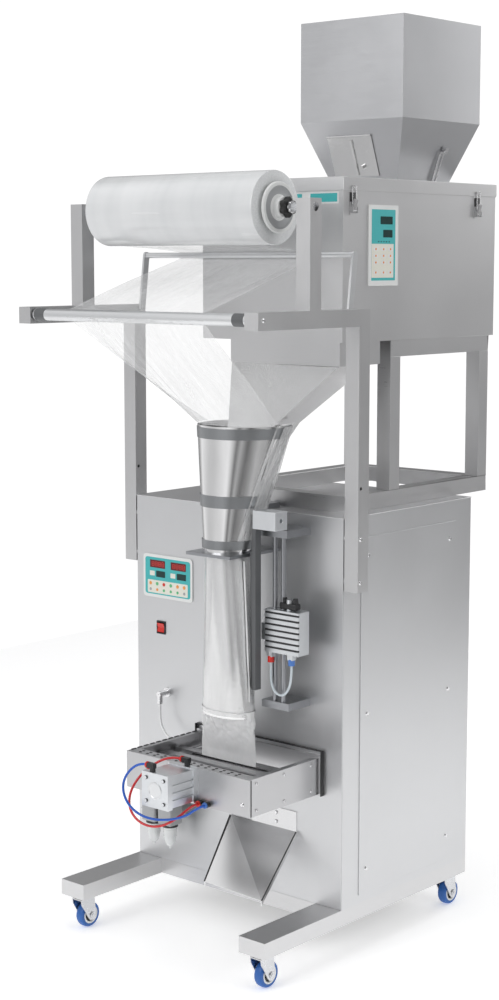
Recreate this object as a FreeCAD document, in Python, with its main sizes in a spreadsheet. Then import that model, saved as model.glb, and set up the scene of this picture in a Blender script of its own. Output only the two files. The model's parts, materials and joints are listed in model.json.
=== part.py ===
"""Vertical form fill sealer: a pillow-bag packing machine on castors.

All lengths are millimetres. +X is to the machine's right as its operator faces it,
+Y runs to the rear and +Z is up. The origin is on the floor under the middle of the machine.
"""
import FreeCAD, Part
import Sketcher
import math
import os

doc = FreeCAD.newDocument("FormFillSealer")
sheet = doc.addObject("Spreadsheet::Sheet", "Sizes")

# Driving dimensions. Each row becomes one spreadsheet cell with this alias.
DRIVING = {
    # cabinet
    "cabinet_width": 680, "cabinet_depth": 530, "cabinet_height": 959, "cabinet_front": -159.7,
    "skin": 2, "post_side": 30, "top_overhang": 2,
    # chassis and castors
    "rail_width": 80, "rail_height": 40, "rail_reach": 284, "tube_wall": 2, "cross_side": 40,
    "castor_height": 89, "wheel_radius": 32.5, "wheel_width": 24, "castor_inset": 36,
    "castor_trail": 16, "castor_plate": 60, "axle_radius": 4,
    # service panel and screws
    "service_width": 394, "service_height": 884, "service_base": 21, "service_setback": 68,
    "screw_radius": 5.5, "screw_head": 3,
    # front controls
    "fascia_width": 172, "fascia_height": 112, "fascia_x": -229, "fascia_z": 882,
    "switch_width": 30, "switch_height": 34, "switch_x": -255, "switch_z": 748,
    # tube work
    "tube_side": 40, "upright_height": 664, "upright_foot": 914, "arm_reach": 358,
    "post_height": 249, "post_y": 162, "roll_axis": 1808, "roller_radius": 14,
    "roller_y": 340, "roller_z": 1560, "bracket_gap": 3,
    # film roll
    "roll_radius": 84, "roll_length": 530, "core_radius": 38, "core_length": 542,
    "shaft_radius": 10, "flange_radius": 58, "film_width": 440, "rim_half": 62, "bag_width": 190,
    # dancer
    "dancer_length": 132, "dancer_bar": 7, "lever_thick": 6,
    # packing line
    "line_x": 75, "line_y": 110, "throat_radius": 59, "collar_radius": 112,
    "collar_height": 302, "throat_z": 998, "collar_shift": 60, "collar_wall": 2,
    "tube_clearance": 4, "tube_end_z": 595, "oval_width": 150, "oval_depth": 90,
    # stand and weigher
    "stand_front": 73, "stand_post": 242, "stand_rear": 668, "stand_height": 408,
    "weigher_width": 444, "weigher_front": 50, "weigher_depth": 640, "weigher_height": 386,
    "weigher_x": 71, "lid_rim": 30,
    "hopper_width": 325, "hopper_depth": 337, "hopper_height": 250, "pyramid_height": 156,
    "outlet_width": 210, "outlet_depth": 220, "hopper_x": 78, "hopper_y": 521, "hopper_wall": 1.5,
    # jaw box
    "jaw_width": 398, "jaw_depth": 265, "jaw_height": 90, "jaw_base": 410, "jaw_plate": 4,
    "guide_radius": 8, "guide_inset": 26, "jaw_bar": 38, "jaw_thick": 25, "jaw_open": 26,
    "ram_side": 84, "ram_length": 105, "rod_radius": 9,
    # general clearances
    "running": 0.05, "gap": 0.4,
}


class Size:
    """A length that carries its number and the spreadsheet formula behind it."""

    def __init__(self, value, formula):
        self.value = float(value)
        self.formula = formula

    def combined(self, other, sign, value):
        return Size(value, f"({self.formula} {sign} {as_size(other).formula})")

    def __add__(self, other):
        return self.combined(other, "+", self.value + as_size(other).value)

    def __radd__(self, other):
        return as_size(other) + self

    def __sub__(self, other):
        return self.combined(other, "-", self.value - as_size(other).value)

    def __rsub__(self, other):
        return as_size(other) - self

    def __mul__(self, other):
        return self.combined(other, "*", self.value * as_size(other).value)

    __rmul__ = __mul__

    def __truediv__(self, other):
        return self.combined(other, "/", self.value / as_size(other).value)

    def __rtruediv__(self, other):
        return as_size(other) / self

    def __neg__(self):
        return as_size(0) - self

    def __float__(self):
        return self.value


def as_size(number):
    return number if isinstance(number, Size) else Size(number, repr(number))


class Driving:
    """The spreadsheet's rows as attributes."""


D = Driving()
for row, (alias, number) in enumerate(DRIVING.items(), start=1):
    sheet.set(f"A{row}", alias)
    sheet.set(f"B{row}", str(number))
    sheet.setAlias(f"B{row}", alias)
    setattr(D, alias, Size(number, f"Sizes.{alias}"))
doc.recompute()
# The forming tube hangs inside the throat, so its radius follows the throat's.
D.tube_radius = D.throat_radius - D.tube_clearance

NODES = []
X = (1, 0, 0)
Y = (0, 1, 0)
Z = (0, 0, 1)
TURN_TO = {X: FreeCAD.Rotation(FreeCAD.Vector(Y), 90), Y: FreeCAD.Rotation(FreeCAD.Vector(X), -90),
           Z: FreeCAD.Rotation()}


def bind(thing, name, size):
    thing.setExpression(name, as_size(size).formula)


def put(thing, at, turn=None):
    """Turn a piece, then bind the place of its own origin."""
    if turn is not None:
        thing.Placement = FreeCAD.Placement(FreeCAD.Vector(), turn)
    for axis, distance in zip("xyz", at):
        bind(thing, f"Placement.Base.{axis}", distance)
    return thing


def node(label, piece):
    """Give a finished sub-part the label that names its file."""
    piece.Label = label
    NODES.append(piece)
    return piece


def box(size, at, turn=None):
    block = doc.addObject("Part::Box", "Block")
    for name, length in zip(("Length", "Width", "Height"), size):
        bind(block, name, length)
    return put(block, at, turn)


def rod(radius, length, at, along=Z):
    bar = doc.addObject("Part::Cylinder", "Bar")
    bind(bar, "Radius", radius)
    bind(bar, "Height", length)
    return put(bar, at, TURN_TO[along])


def taper(low_radius, high_radius, length, at, along=Z):
    cone = doc.addObject("Part::Cone", "Taper")
    bind(cone, "Radius1", low_radius)
    bind(cone, "Radius2", high_radius)
    bind(cone, "Height", length)
    return put(cone, at, TURN_TO[along])


def fuse(*pieces):
    joined = doc.addObject("Part::MultiFuse", "Joined")
    joined.Shapes = list(pieces)
    return joined


def cut(base, *tools):
    """Cut one or more tools from a piece."""
    trimmed = doc.addObject("Part::Cut", "Trimmed")
    trimmed.Base = base
    trimmed.Tool = tools[0] if len(tools) == 1 else group(*tools)
    return trimmed


def group(*pieces):
    """Separate solids that belong to one sub-part."""
    together = doc.addObject("Part::Compound", "Group")
    together.Links = list(pieces)
    return together


def tube(size, at, along, wall=None):
    """A rectangular tube, open at both ends."""
    wall = wall or D.tube_wall
    inner_size = []
    inner_at = []
    for axis, length, place in zip((X, Y, Z), size, at):
        end = as_size(1) if axis == along else -wall
        inner_size.append(length + 2 * end)
        inner_at.append(place - end)
    return cut(box(size, at), box(inner_size, inner_at))


def ring(outer, inner, length, at, along=Z):
    return cut(rod(outer, length, at, along), rod(inner, length, at, along))


def origin_plane(body, role):
    return next(item for item in body.Origin.OriginFeatures if item.Role == role)


def draw(body, role, outlines, circles):
    """A sketch whose every corner and circle is dimensioned from the origin."""
    sketch = body.newObject("Sketcher::SketchObject", "Sketch")
    sketch.AttachmentSupport = [(origin_plane(body, role), "")]
    sketch.MapMode = "FlatFace"

    rules = []
    for outline in outlines:
        first = sketch.GeometryCount
        count = len(outline)
        points = [FreeCAD.Vector(float(x), float(y), 0) for x, y in outline]
        for index in range(count):
            sketch.addGeometry(Part.LineSegment(points[index], points[(index + 1) % count]))
        for index, (x, y) in enumerate(outline):
            edge = first + index
            sketch.addConstraint(Sketcher.Constraint("Coincident", edge, 2, first + (index + 1) % count, 1))
            rules.append(("DistanceX", edge, 1, x))
            rules.append(("DistanceY", edge, 1, y))
    for x, y, radius in circles:
        centre = FreeCAD.Vector(float(x), float(y), 0)
        edge = sketch.addGeometry(Part.Circle(centre, FreeCAD.Vector(0, 0, 1), float(radius)))
        rules.append(("DistanceX", edge, 3, x))
        rules.append(("DistanceY", edge, 3, y))
        rules.append(("Radius", edge, 0, radius))
    for kind, edge, point, size in rules:
        if kind == "Radius":
            rule = Sketcher.Constraint(kind, edge, float(size))
        else:
            rule = Sketcher.Constraint(kind, -1, 1, edge, point, float(size))
        number = sketch.addConstraint(rule)
        if "Sizes" in as_size(size).formula:
            bind(sketch, f"Constraints[{number}]", size)
    return sketch


def padded(role, outlines, thickness, at, circles=(), turn=None):
    """A plate or bar: outlines on an origin plane, padded by a thickness."""
    body = doc.addObject("PartDesign::Body", "Body")
    sketch = draw(body, role, outlines, circles)
    pad = body.newObject("PartDesign::Pad", "Pad")
    pad.Profile = sketch
    bind(pad, "Length", thickness)
    return put(body, at, turn)


def turned(profile, at, along=Z):
    """A turned piece: (radius, height) corners revolved about its own upright axis."""
    body = doc.addObject("PartDesign::Body", "Body")
    sketch = draw(body, "XZ_Plane", [profile], ())
    spin = body.newObject("PartDesign::Revolution", "Spin")
    spin.Profile = sketch
    spin.ReferenceAxis = (sketch, ["V_Axis"])
    spin.Angle = 360
    return put(body, at, TURN_TO[along])


def formed(shape):
    """A piece whose shape is worked out with Part's own functions."""
    piece = doc.addObject("Part::Feature", "Formed")
    piece.Shape = shape
    return piece


def rectangle(x_low, x_high, y_low, y_high):
    return [(x_low, y_low), (x_high, y_low), (x_high, y_high), (x_low, y_high)]


def loop_wire(corners):
    return Part.makePolygon(list(corners) + [corners[0]])


def loft(wires):
    return Part.makeLoft(wires, True, True)


# --------------------------------------------------------------------------- levels
front = D.cabinet_front
half_width = D.cabinet_width / 2
rail_base = D.castor_height
cabinet_base = rail_base + D.rail_height
cabinet_top = cabinet_base + D.cabinet_height
cabinet_rear = front + D.cabinet_depth
rail_front = front - D.rail_reach
line_y = front - D.line_y
arm_z = D.upright_foot + D.upright_height - D.tube_side
arm_top = D.upright_foot + D.upright_height
bracket_x = half_width + D.bracket_gap
outer_x = bracket_x + D.tube_side
SIDES = {"left": -1, "right": 1}


def at_side(sign, inner, width):
    """The low x of a piece that starts at `inner` from the middle, on either side."""
    return inner if sign > 0 else -inner - width


# --------------------------------------------------------------------------- chassis
def chassis():
    """Welded rails, cross members, corner posts and the castors' top plates."""
    pieces = []
    rail_length = D.rail_reach + D.cabinet_depth - 2 * D.tube_wall
    for sign in SIDES.values():
        x = at_side(sign, half_width - D.rail_width, D.rail_width)
        pieces.append(tube((D.rail_width, rail_length, D.rail_height),
                           (x, rail_front + D.tube_wall, rail_base), Y))
        for y in (rail_front, cabinet_rear - D.tube_wall):
            pieces.append(box((D.rail_width, D.tube_wall, D.rail_height), (x, y, rail_base)))
        for y in (front + D.skin, cabinet_rear - D.skin - D.post_side):
            inner = half_width - D.skin - D.post_side
            post = (at_side(sign, inner, D.post_side), y, cabinet_base)
            pieces.append(tube((D.post_side, D.post_side, D.cabinet_height - D.skin), post, Z))
        for y in castor_rows():
            pieces.append(castor_plate(sign * castor_x(), y))
    for y in (front, cabinet_rear - D.cross_side):
        pieces.append(tube((D.cabinet_width - 2 * D.rail_width, D.cross_side, D.rail_height),
                           (D.rail_width - half_width, y, rail_base), X))
    return node("base_frame", group(*pieces))


def castor_x():
    return half_width - D.rail_width / 2


def castor_rows():
    """The y of the two swivel axes on each rail."""
    return (rail_front + D.castor_inset, cabinet_rear - D.castor_inset)


PLATE_THICK = 3
RACE_RADIUS = 21
RACE_DEPTH = 6


def castor_plate(x, y):
    half = D.castor_plate / 2
    plate = box((D.castor_plate, D.castor_plate, PLATE_THICK), (x - half, y - half, rail_base - PLATE_THICK))
    race = rod(RACE_RADIUS, RACE_DEPTH, (x, y, rail_base - PLATE_THICK - RACE_DEPTH))
    return fuse(plate, race)


LEG_THICK = 2.5
FORK_GAP = 3


def castor(name, x, y):
    """A swivel fork with its axle bolt, and the wheel that turns on it."""
    crown_top = rail_base - PLATE_THICK - RACE_DEPTH - D.gap
    axle_y = y + D.castor_trail
    inside = D.wheel_width + 2 * FORK_GAP
    outside = inside + 2 * LEG_THICK
    nose = 13
    profile = [(-22, crown_top), (-20, crown_top - 14), (D.castor_trail - nose, D.wheel_radius - 6),
               (D.castor_trail - 6, D.wheel_radius - nose), (D.castor_trail + 6, D.wheel_radius - nose),
               (D.castor_trail + nose, D.wheel_radius - 4), (24, crown_top)]
    cheeks = padded("YZ_Plane", [profile], outside, (x - outside / 2, y, 0))
    room = box((inside, 90, 90), (x - inside / 2, y - 45, crown_top - LEG_THICK - 90))
    hole = rod(D.axle_radius, outside, (x - outside / 2, axle_y, D.wheel_radius), X)
    fork = cut(cheeks, room, hole)
    bolt = rod(D.axle_radius, outside + 8, (x - outside / 2 - 4, axle_y, D.wheel_radius), X)
    washers = [ring(8, D.axle_radius, 3, (x + shift, axle_y, D.wheel_radius), X)
               for shift in (outside / 2, -outside / 2 - 3)]
    node(f"castor_fork_{name}", group(fork, bolt, *washers))
    half = D.wheel_width / 2
    bore = D.axle_radius + D.running
    hub = turned([(bore, -half + 1), (9, -half + 1), (9, -3), (19, -3), (19, -half), (22, -half),
                  (22, half), (19, half), (19, 3), (9, 3), (9, half - 1), (bore, half - 1)],
                 (x, axle_y, D.wheel_radius), X)
    rim = D.wheel_radius
    tyre = turned([(22, -half), (rim - 5, -half), (rim - 1, -half + 4), (rim, -3), (rim, 3),
                   (rim - 1, half - 4), (rim - 5, half), (22, half)],
                  (x, axle_y, D.wheel_radius), X)
    node(f"castor_wheel_{name}", group(hub, tyre))


def castors():
    for side, sign in SIDES.items():
        for end, y in zip(("front", "rear"), castor_rows()):
            castor(f"{end}_{side}", sign * castor_x(), y)


# --------------------------------------------------------------------------- cabinet
SLOT_COUNT = 9
INLET_X = -290
INLET_RISE = 60
INLET_WIDTH = 48
INLET_HEIGHT = 28


def cabinet():
    """Front panel, wrap-round sides and back, top plate and bolted service panel."""
    height = D.cabinet_height - D.skin
    switch = rectangle(D.switch_x - D.switch_width / 2 + 2, D.switch_x + D.switch_width / 2 - 2,
                       D.switch_z - D.switch_height / 2 + 2, D.switch_z + D.switch_height / 2 - 2)
    face = rectangle(-half_width, half_width, cabinet_base, cabinet_base + height)
    node("front_panel", padded("XZ_Plane", [face, switch], D.skin, (0, front + D.skin, 0)))
    inner = half_width - D.skin
    start = front + D.skin
    plan = [(-half_width, start), (-inner, start), (-inner, cabinet_rear - D.skin),
            (inner, cabinet_rear - D.skin), (inner, start), (half_width, start),
            (half_width, cabinet_rear), (-half_width, cabinet_rear)]
    wrap = padded("XY_Plane", [plan], height, (0, 0, cabinet_base))
    lip = 15
    low_y = front + D.service_setback
    low_z = cabinet_base + D.service_base
    opening = box((3 * D.skin, D.service_width - 2 * lip, D.service_height - 2 * lip),
                  (inner - D.skin, low_y + lip, low_z + lip))
    slots = [box((200, 3 * D.skin, 8), (-100, cabinet_rear - 2 * D.skin, cabinet_base + 120 + 26 * step))
             for step in range(SLOT_COUNT)]
    inlet = box((INLET_WIDTH + 2, 3 * D.skin, INLET_HEIGHT + 2),
                (INLET_X - 1, cabinet_rear - 2 * D.skin, cabinet_base + INLET_RISE - 1))
    node("cabinet_wrap", cut(wrap, opening, inlet, *slots))
    lid = rectangle(-half_width - D.top_overhang, half_width + D.top_overhang,
                    front - D.top_overhang, cabinet_rear + D.top_overhang)
    node("top_plate", padded("XY_Plane", [lid], D.skin, (0, 0, cabinet_top - D.skin)))
    node("service_panel", box((D.skin, D.service_width, D.service_height), (half_width, low_y, low_z)))


def button_head(x, y, z, along, sign=1):
    """A domed screw head standing on a face, pointing along +axis or -axis."""
    start = (x, y, z) if sign > 0 else tuple(
        place - D.screw_head if axis == along else place for axis, place in zip((X, Y, Z), (x, y, z)))
    wide, narrow = D.screw_radius, D.screw_radius - 2
    radii = (wide, narrow) if sign > 0 else (narrow, wide)
    return taper(*radii, D.screw_head, start, along)


BRACKET_BOLTS = (24, 127)


def screws():
    """Every domed screw on the outside of the machine."""
    heads = []
    inset = 27
    for y in (front + D.service_setback + inset, front + D.service_setback + D.service_width - inset):
        for share in (0.07, 0.51, 0.95):
            z = cabinet_base + D.service_base + share * D.service_height
            heads.append(button_head(half_width + D.skin, y, z, X))
    for sign in SIDES.values():
        for rise in BRACKET_BOLTS:
            y = front + D.tube_side / 4
            heads.append(button_head(sign * outer_x, y, D.upright_foot + rise, X, sign))
        heads.append(button_head(sign * outer_x, front - D.roller_y, D.roller_z, X, sign))
    heads.append(button_head(jaw_right - 22, jaw_front, D.jaw_base + 28, Y, -1))
    for z in chute_bolt_levels():
        heads.append(button_head(chute_bolt_x(), front - D.skin, z, Y, -1))
    return node("cover_screws", group(*heads))


def controls():
    """Control fascia with its display windows, and the power switch."""
    fascia_depth = 3
    half_w = D.fascia_width / 2
    half_h = D.fascia_height / 2
    fascia = box((D.fascia_width, fascia_depth, D.fascia_height),
                 (D.fascia_x - half_w, front - fascia_depth, D.fascia_z - half_h))
    half_sw = D.switch_width / 2
    half_sh = D.switch_height / 2
    rim = 3
    surround = box((D.switch_width, rim, D.switch_height),
                   (D.switch_x - half_sw, front - rim, D.switch_z - half_sh))
    window = box((D.switch_width - 2 * rim, rim + 2, D.switch_height - 2 * rim),
                 (D.switch_x - half_sw + rim, front - rim - 1, D.switch_z - half_sh + rim))
    bezel = cut(surround, window)
    well = tube((D.switch_width - 5, 22, D.switch_height - 5),
                (D.switch_x - half_sw + 2.5, front, D.switch_z - half_sh + 2.5), Y, as_size(0.5))
    pin = rod(1.5, D.switch_width - 6, (D.switch_x - half_sw + 3, front + 6, D.switch_z), X)
    node("front_controls", group(fascia, bezel, well, pin))
    side = half_sh - rim - 2.4
    profile = [(-4, -side), (-1.5, 0), (-5.6, side), (8, side - 3), (8, -side + 3)]
    rocker = padded("YZ_Plane", [profile], D.switch_width - 2 * rim - 1,
                    (D.switch_x - half_sw + rim + 0.5, front, D.switch_z))
    bore = rod(1.5 + D.running, D.switch_width, (D.switch_x - half_sw, front + 6, D.switch_z), X)
    node("switch_rocker", cut(rocker, bore))


def control_gear():
    """Electrical box, valve bank and the power inlet in the back panel, all fixed inside."""
    back = cabinet_rear - D.skin
    case = box((260, 120, 320), (-180, back - 120, cabinet_base + 430))
    valves = [box((22, 60, 70), (100 + 26 * step, back - 60, cabinet_base + 480)) for step in range(5)]
    rail = box((130, 8, 20), (100, back - 68, cabinet_base + 505))
    inlet_z = cabinet_base + INLET_RISE
    inlet = fuse(box((INLET_WIDTH, 30, INLET_HEIGHT), (INLET_X, cabinet_rear - 30, inlet_z)),
                 box((INLET_WIDTH + 16, 3, INLET_HEIGHT + 8), (INLET_X - 8, cabinet_rear, inlet_z - 4)))
    slot = cut(inlet, box((INLET_WIDTH - 14, 20, INLET_HEIGHT - 10),
                          (INLET_X + 7, cabinet_rear - 15, inlet_z + 5)))
    return node("control_gear", group(case, *valves, rail, slot))


# --------------------------------------------------------------------------- stand
def mitred(length, at, turn=None):
    """A square tube laid along X with both ends cut at 45 degrees, its long side at y = 0."""
    side = D.tube_side
    wall = D.tube_wall
    outer = padded("XY_Plane", [[(0, 0), (length, 0), (length - side, side), (side, side)]], side, (0, 0, 0))
    inner = padded("XY_Plane", [[(wall, wall), (length - wall, wall), (length - side + wall, side - wall),
                                 (side - wall, side - wall)]], side - 2 * wall, (0, 0, wall))
    return put(cut(outer, inner), at, turn)


stand_left = D.weigher_x - D.weigher_width / 2
stand_right = D.weigher_x + D.weigher_width / 2


def square_frame(y_low, y_high, z):
    """Four mitred tubes round a rectangle as wide as the weigher."""
    turn = {angle: FreeCAD.Rotation(FreeCAD.Vector(0, 0, 1), angle) for angle in (0, 90, 180, 270)}
    return [mitred(D.weigher_width, (stand_left, y_low, z), turn[0]),
            mitred(y_high - y_low, (stand_right, y_low, z), turn[90]),
            mitred(D.weigher_width, (stand_right, y_high, z), turn[180]),
            mitred(y_high - y_low, (stand_left, y_high, z), turn[270])]


def stand():
    """The open frame that carries the weigher over the back of the cabinet."""
    side = D.tube_side
    low = square_frame(front + D.stand_front, front + D.stand_rear, cabinet_top)
    high = square_frame(front + D.stand_post, front + D.stand_rear, cabinet_top + D.stand_height - side)
    posts = []
    for x in (stand_left, stand_right - side):
        for y in (front + D.stand_post, front + D.stand_rear - side):
            posts.append(tube((side, side, D.stand_height - 2 * side), (x, y, cabinet_top + side), Z))
    return node("stand_frame", group(*low, *high, *posts))


# --------------------------------------------------------------------------- weigher
weigher_base = cabinet_top + D.stand_height
case_top = weigher_base + D.weigher_height
weigher_front = front + D.weigher_front
weigher_rear = weigher_front + D.weigher_depth
box_front = weigher_front
box_rear = weigher_front + 158
box_base = weigher_base - 56
LATCH_DROP = 45
LATCH_OUT = 5.5
LATCH_PIN = 1.5
latch_pivot_z = case_top - D.lid_rim - LATCH_DROP


def latch_rows():
    return {"front": weigher_front + 37, "rear": weigher_rear - 84}


def weigher_case():
    """Open-topped sheet box with the outlet box under its front end, and the latch plates."""
    skin = D.skin
    outer = box((D.weigher_width, D.weigher_depth, D.weigher_height),
                (stand_left, weigher_front, weigher_base))
    inner = box((D.weigher_width - 2 * skin, D.weigher_depth - 2 * skin, D.weigher_height),
                (stand_left + skin, weigher_front + skin, weigher_base + skin))
    shell = cut(outer, inner)
    low_x = D.line_x - 133
    width = stand_right - 7 - low_x
    outlet = box((width - 2 * skin, box_rear - box_front - 2 * skin, 3 * skin),
                 (low_x + skin, box_front + skin, weigher_base - skin))
    collar = tube((width, box_rear - box_front, weigher_base - box_base),
                  (low_x, box_front, box_base), Z, skin)
    plates = []
    for y in latch_rows().values():
        plate = box((2, 26, 30), (stand_right, y - 13, latch_pivot_z - 11))
        ears = [box((7, 2, 14), (stand_right + 2, y + shift, latch_pivot_z - 7)) for shift in (-10, 8)]
        pin = rod(LATCH_PIN, 20, (stand_right + LATCH_OUT, y - 10, latch_pivot_z), Y)
        plates.append(fuse(plate, *ears, pin))
    return node("weigher_case", group(cut(shell, outlet), collar, *plates))


def latches():
    """Over-centre latch levers, each with its wire loop round the lid's rim hook."""
    lever_x = stand_right + LATCH_OUT
    wire_x = lever_x - 1
    wire = 1.2
    spread = 7.2
    low, high = 12, 56
    half_lever = 3.2
    profile = [(-half_lever, 0), (half_lever, 0), (half_lever, 12), (6, 22), (2.5, 26), (-1, 18),
               (-half_lever, 12)]
    for name, y in latch_rows().items():
        lever = padded("XZ_Plane", [profile], 12, (lever_x, y + 6, latch_pivot_z))
        boss = rod(half_lever, 15, (lever_x, y - 7.5, latch_pivot_z), Y)
        bore = rod(LATCH_PIN + D.running, 30, (lever_x, y - 15, latch_pivot_z), Y)
        wires = [rod(wire, high - low, (wire_x, y + side * spread, latch_pivot_z + low), Z)
                 for side in SIDES.values()]
        bars = [rod(wire, 2 * (spread + wire), (wire_x, y - spread - wire, latch_pivot_z + rise), Y)
                for rise in (low, high)]
        node(f"latch_lever_{name}", fuse(cut(fuse(lever, boss), bore), *wires, *bars))


def keypad():
    depth = 3
    corner = (stand_right, weigher_front + 96, weigher_base + 133)
    return node("weigher_keypad", box((depth, 118, 192), corner))


hopper_left = D.hopper_x - D.hopper_width / 2
hopper_front = front + D.hopper_y - D.hopper_depth / 2


def lid():
    """Lid with a turned-down rim, a hole for the hopper's spout and two latch hooks."""
    skin = D.skin
    clear = D.gap
    rim_z = case_top - D.lid_rim
    outer = box((D.weigher_width + 2 * skin + 2 * clear, D.weigher_depth + 2 * skin + 2 * clear,
                 D.lid_rim + skin), (stand_left - skin - clear, weigher_front - skin - clear, rim_z))
    inner = box((D.weigher_width + 2 * clear, D.weigher_depth + 2 * clear, D.lid_rim),
                (stand_left - clear, weigher_front - clear, rim_z))
    hole = box((D.outlet_width, D.outlet_depth, 4 * skin),
               (D.hopper_x - D.outlet_width / 2, front + D.hopper_y - D.outlet_depth / 2, case_top - skin))
    hooks = []
    for y in latch_rows().values():
        hooks.append(box((5, 10, 3), (stand_right + skin + clear, y - 5, rim_z + 6)))
    return node("weigher_lid", fuse(cut(outer, inner, hole), *hooks))


pyramid_base = case_top + D.skin
hopper_low = pyramid_base + D.pyramid_height
hopper_top = hopper_low + D.hopper_height


def square_loop(centre_x, centre_y, width, depth, z):
    x, y, z = float(centre_x), float(centre_y), float(z)
    half_w, half_d = float(width) / 2, float(depth) / 2
    return loop_wire([FreeCAD.Vector(x - half_w, y - half_d, z), FreeCAD.Vector(x + half_w, y - half_d, z),
                      FreeCAD.Vector(x + half_w, y + half_d, z), FreeCAD.Vector(x - half_w, y + half_d, z)])


def hopper():
    """Square bin on a pyramid, in thin sheet, with a spout that drops through the lid."""
    centre = (D.hopper_x, front + D.hopper_y)
    wall = float(D.hopper_wall)

    def shell(inset, extra):
        upper = (float(D.hopper_width) - 2 * inset, float(D.hopper_depth) - 2 * inset)
        lower = (float(D.outlet_width) - 2 * inset, float(D.outlet_depth) - 2 * inset)
        top = loft([square_loop(*centre, *upper, float(hopper_low)),
                    square_loop(*centre, *upper, float(hopper_top) + extra)])
        cone = loft([square_loop(*centre, *lower, float(pyramid_base)),
                     square_loop(*centre, *upper, float(hopper_low))])
        spout = loft([square_loop(*centre, lower[0] - 2, lower[1] - 2, float(pyramid_base) - 25 - extra),
                      square_loop(*centre, lower[0] - 2, lower[1] - 2, float(pyramid_base))])
        return top.fuse([cone, spout])

    return node("hopper", formed(shell(0, 0).cut(shell(wall, 5)).removeSplitter()))


def slope_turn(run, rise):
    """The lean of a face that goes out by `run` over `rise`, in degrees from upright."""
    return math.degrees(math.atan2(float(run), float(rise)))


def hopper_doors():
    """Clean-out flap on the front slope and the gate's lever on the right slope."""
    run = (D.hopper_depth - D.outlet_depth) / 2
    lean = slope_turn(run, D.pyramid_height)
    tilt = FreeCAD.Rotation(FreeCAD.Vector(1, 0, 0), lean)
    hinge_z = pyramid_base + 118
    hinge_y = hopper_front + run * (1 - 118 / D.pyramid_height)
    flap_width = 140
    flap_x = D.hopper_x - 85
    flap = box((flap_width, 1.5, 104), (0, -2.5, -106))
    handle = rod(3, 92, (flap_width / 2 + 6, -5, -102))
    knob = rod(7, 8, (flap_width / 2 + 24, -10.5, -82), Y)
    hinge = rod(3, flap_width, (0, -3.3, 0), X)
    leaf = fuse(box((flap_width, 2, 6), (0, -3.5, -4)), flap)
    node("hopper_flap", put(group(fuse(leaf, hinge, handle), knob), (flap_x, hinge_y, hinge_z), tilt))
    side_run = (D.hopper_width - D.outlet_width) / 2
    side_tilt = FreeCAD.Rotation(FreeCAD.Vector(0, 1, 0), slope_turn(side_run, D.pyramid_height))
    pivot_z = pyramid_base + 84
    pivot_x = D.hopper_x + D.outlet_width / 2 + side_run * (84 / D.pyramid_height)
    legs = [rod(2.5, 80, (6, 0, -82)), rod(2.5, 80, (6, -14, -82))]
    ball = rod(7, 12, (2, 0, 5), X)
    bridge = box((9, 22, 6), (D.gap, -18, -6))
    node("gate_lever", put(fuse(*legs, bridge, ball),
                           (pivot_x, front + D.hopper_y + 40, pivot_z), side_tilt))


def feeder():
    """Vibrating pan on leaf springs over its drive, and the load cell with its bucket."""
    floor = weigher_base + D.skin
    pan_width = D.outlet_width + 8
    pan_x = D.hopper_x - pan_width / 2
    pan_y = box_front + 100
    pan_length = weigher_rear - pan_y - 60
    pan_z = floor + 236
    pan = cut(box((pan_width, pan_length, 60), (pan_x, pan_y, pan_z)),
              box((pan_width - 4, pan_length, 60), (pan_x + 2, pan_y - 2, pan_z + 2)))
    node("feeder_pan", pan)
    drive_y = box_rear + 60
    foot = box((140, 260, 30), (D.hopper_x - 70, drive_y, floor))
    drive = box((120, 150, 90), (D.hopper_x - 60, drive_y + 55, floor + 30))
    springs = [box((60, 3, pan_z - floor - 30 - D.running), (D.hopper_x - 30, drive_y + shift, floor + 30))
               for shift in (5, 250)]
    node("feeder_drive", group(fuse(foot, drive), *springs))
    width = 120
    bucket_x = D.line_x - width / 2
    bucket_y = box_front + 25
    bucket_z = floor + 122
    cell_length = stand_right - D.skin - bucket_x - width
    cell_x = bucket_x + width
    cell = box((cell_length, 24, 22), (cell_x, bucket_y + 40, bucket_z + 40))
    waist = [rod(7, 26, (cell_x + cell_length / 2 + shift, bucket_y + 39, bucket_z + 51), Y)
             for shift in (-8, 8)]
    node("load_cell", cut(cell, *waist))
    walls = cut(box((width, 110, 110), (bucket_x, bucket_y, bucket_z)),
                box((width - 3, 107, 112), (bucket_x + 1.5, bucket_y + 1.5, bucket_z - 1)))
    pin_y = bucket_y + 114.6
    pin_z = bucket_z + 2.9
    pin = rod(2, width, (bucket_x, pin_y, pin_z), X)
    lugs = [box((3, 12, 14), (x, bucket_y + 107, bucket_z)) for x in (bucket_x, bucket_x + width - 3)]
    node("weigh_bucket", fuse(walls, *lugs, pin))
    leaf = box((width - 8, 116, 1.5), (bucket_x + 4, bucket_y, bucket_z - 2))
    barrel = rod(4, width - 8, (bucket_x + 4, pin_y, pin_z), X)
    bore = rod(2 + D.running, width, (bucket_x, pin_y, pin_z), X)
    return node("bucket_door", cut(fuse(leaf, barrel), bore))


def funnel():
    """Chute that carries each weighed charge from the outlet box into the forming tube."""
    levels = [(rectangle(-56, 284, 52, 168), float(box_base)),
              (rectangle(-4, 146, -20, 72), float(box_base) - 142),
              (rectangle(48, 102, -138, -82), float(D.throat_z) + 112)]
    offset_x = float(D.line_x) - 75
    offset_y = float(front)

    def skin_at(inset):
        wires = []
        for corners, z in levels:
            (x0, y0), _, (x1, y1), _ = corners
            wires.append(square_loop((x0 + x1) / 2 + offset_x, (y0 + y1) / 2 + offset_y,
                                     x1 - x0 - 2 * inset, y1 - y0 - 2 * inset, z))
        return loft(wires[:2]).fuse(loft(wires[1:]))

    outer = skin_at(0)
    inner = skin_at(float(D.hopper_wall))
    return node("outlet_funnel", formed(outer.cut(inner).removeSplitter()))


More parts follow.
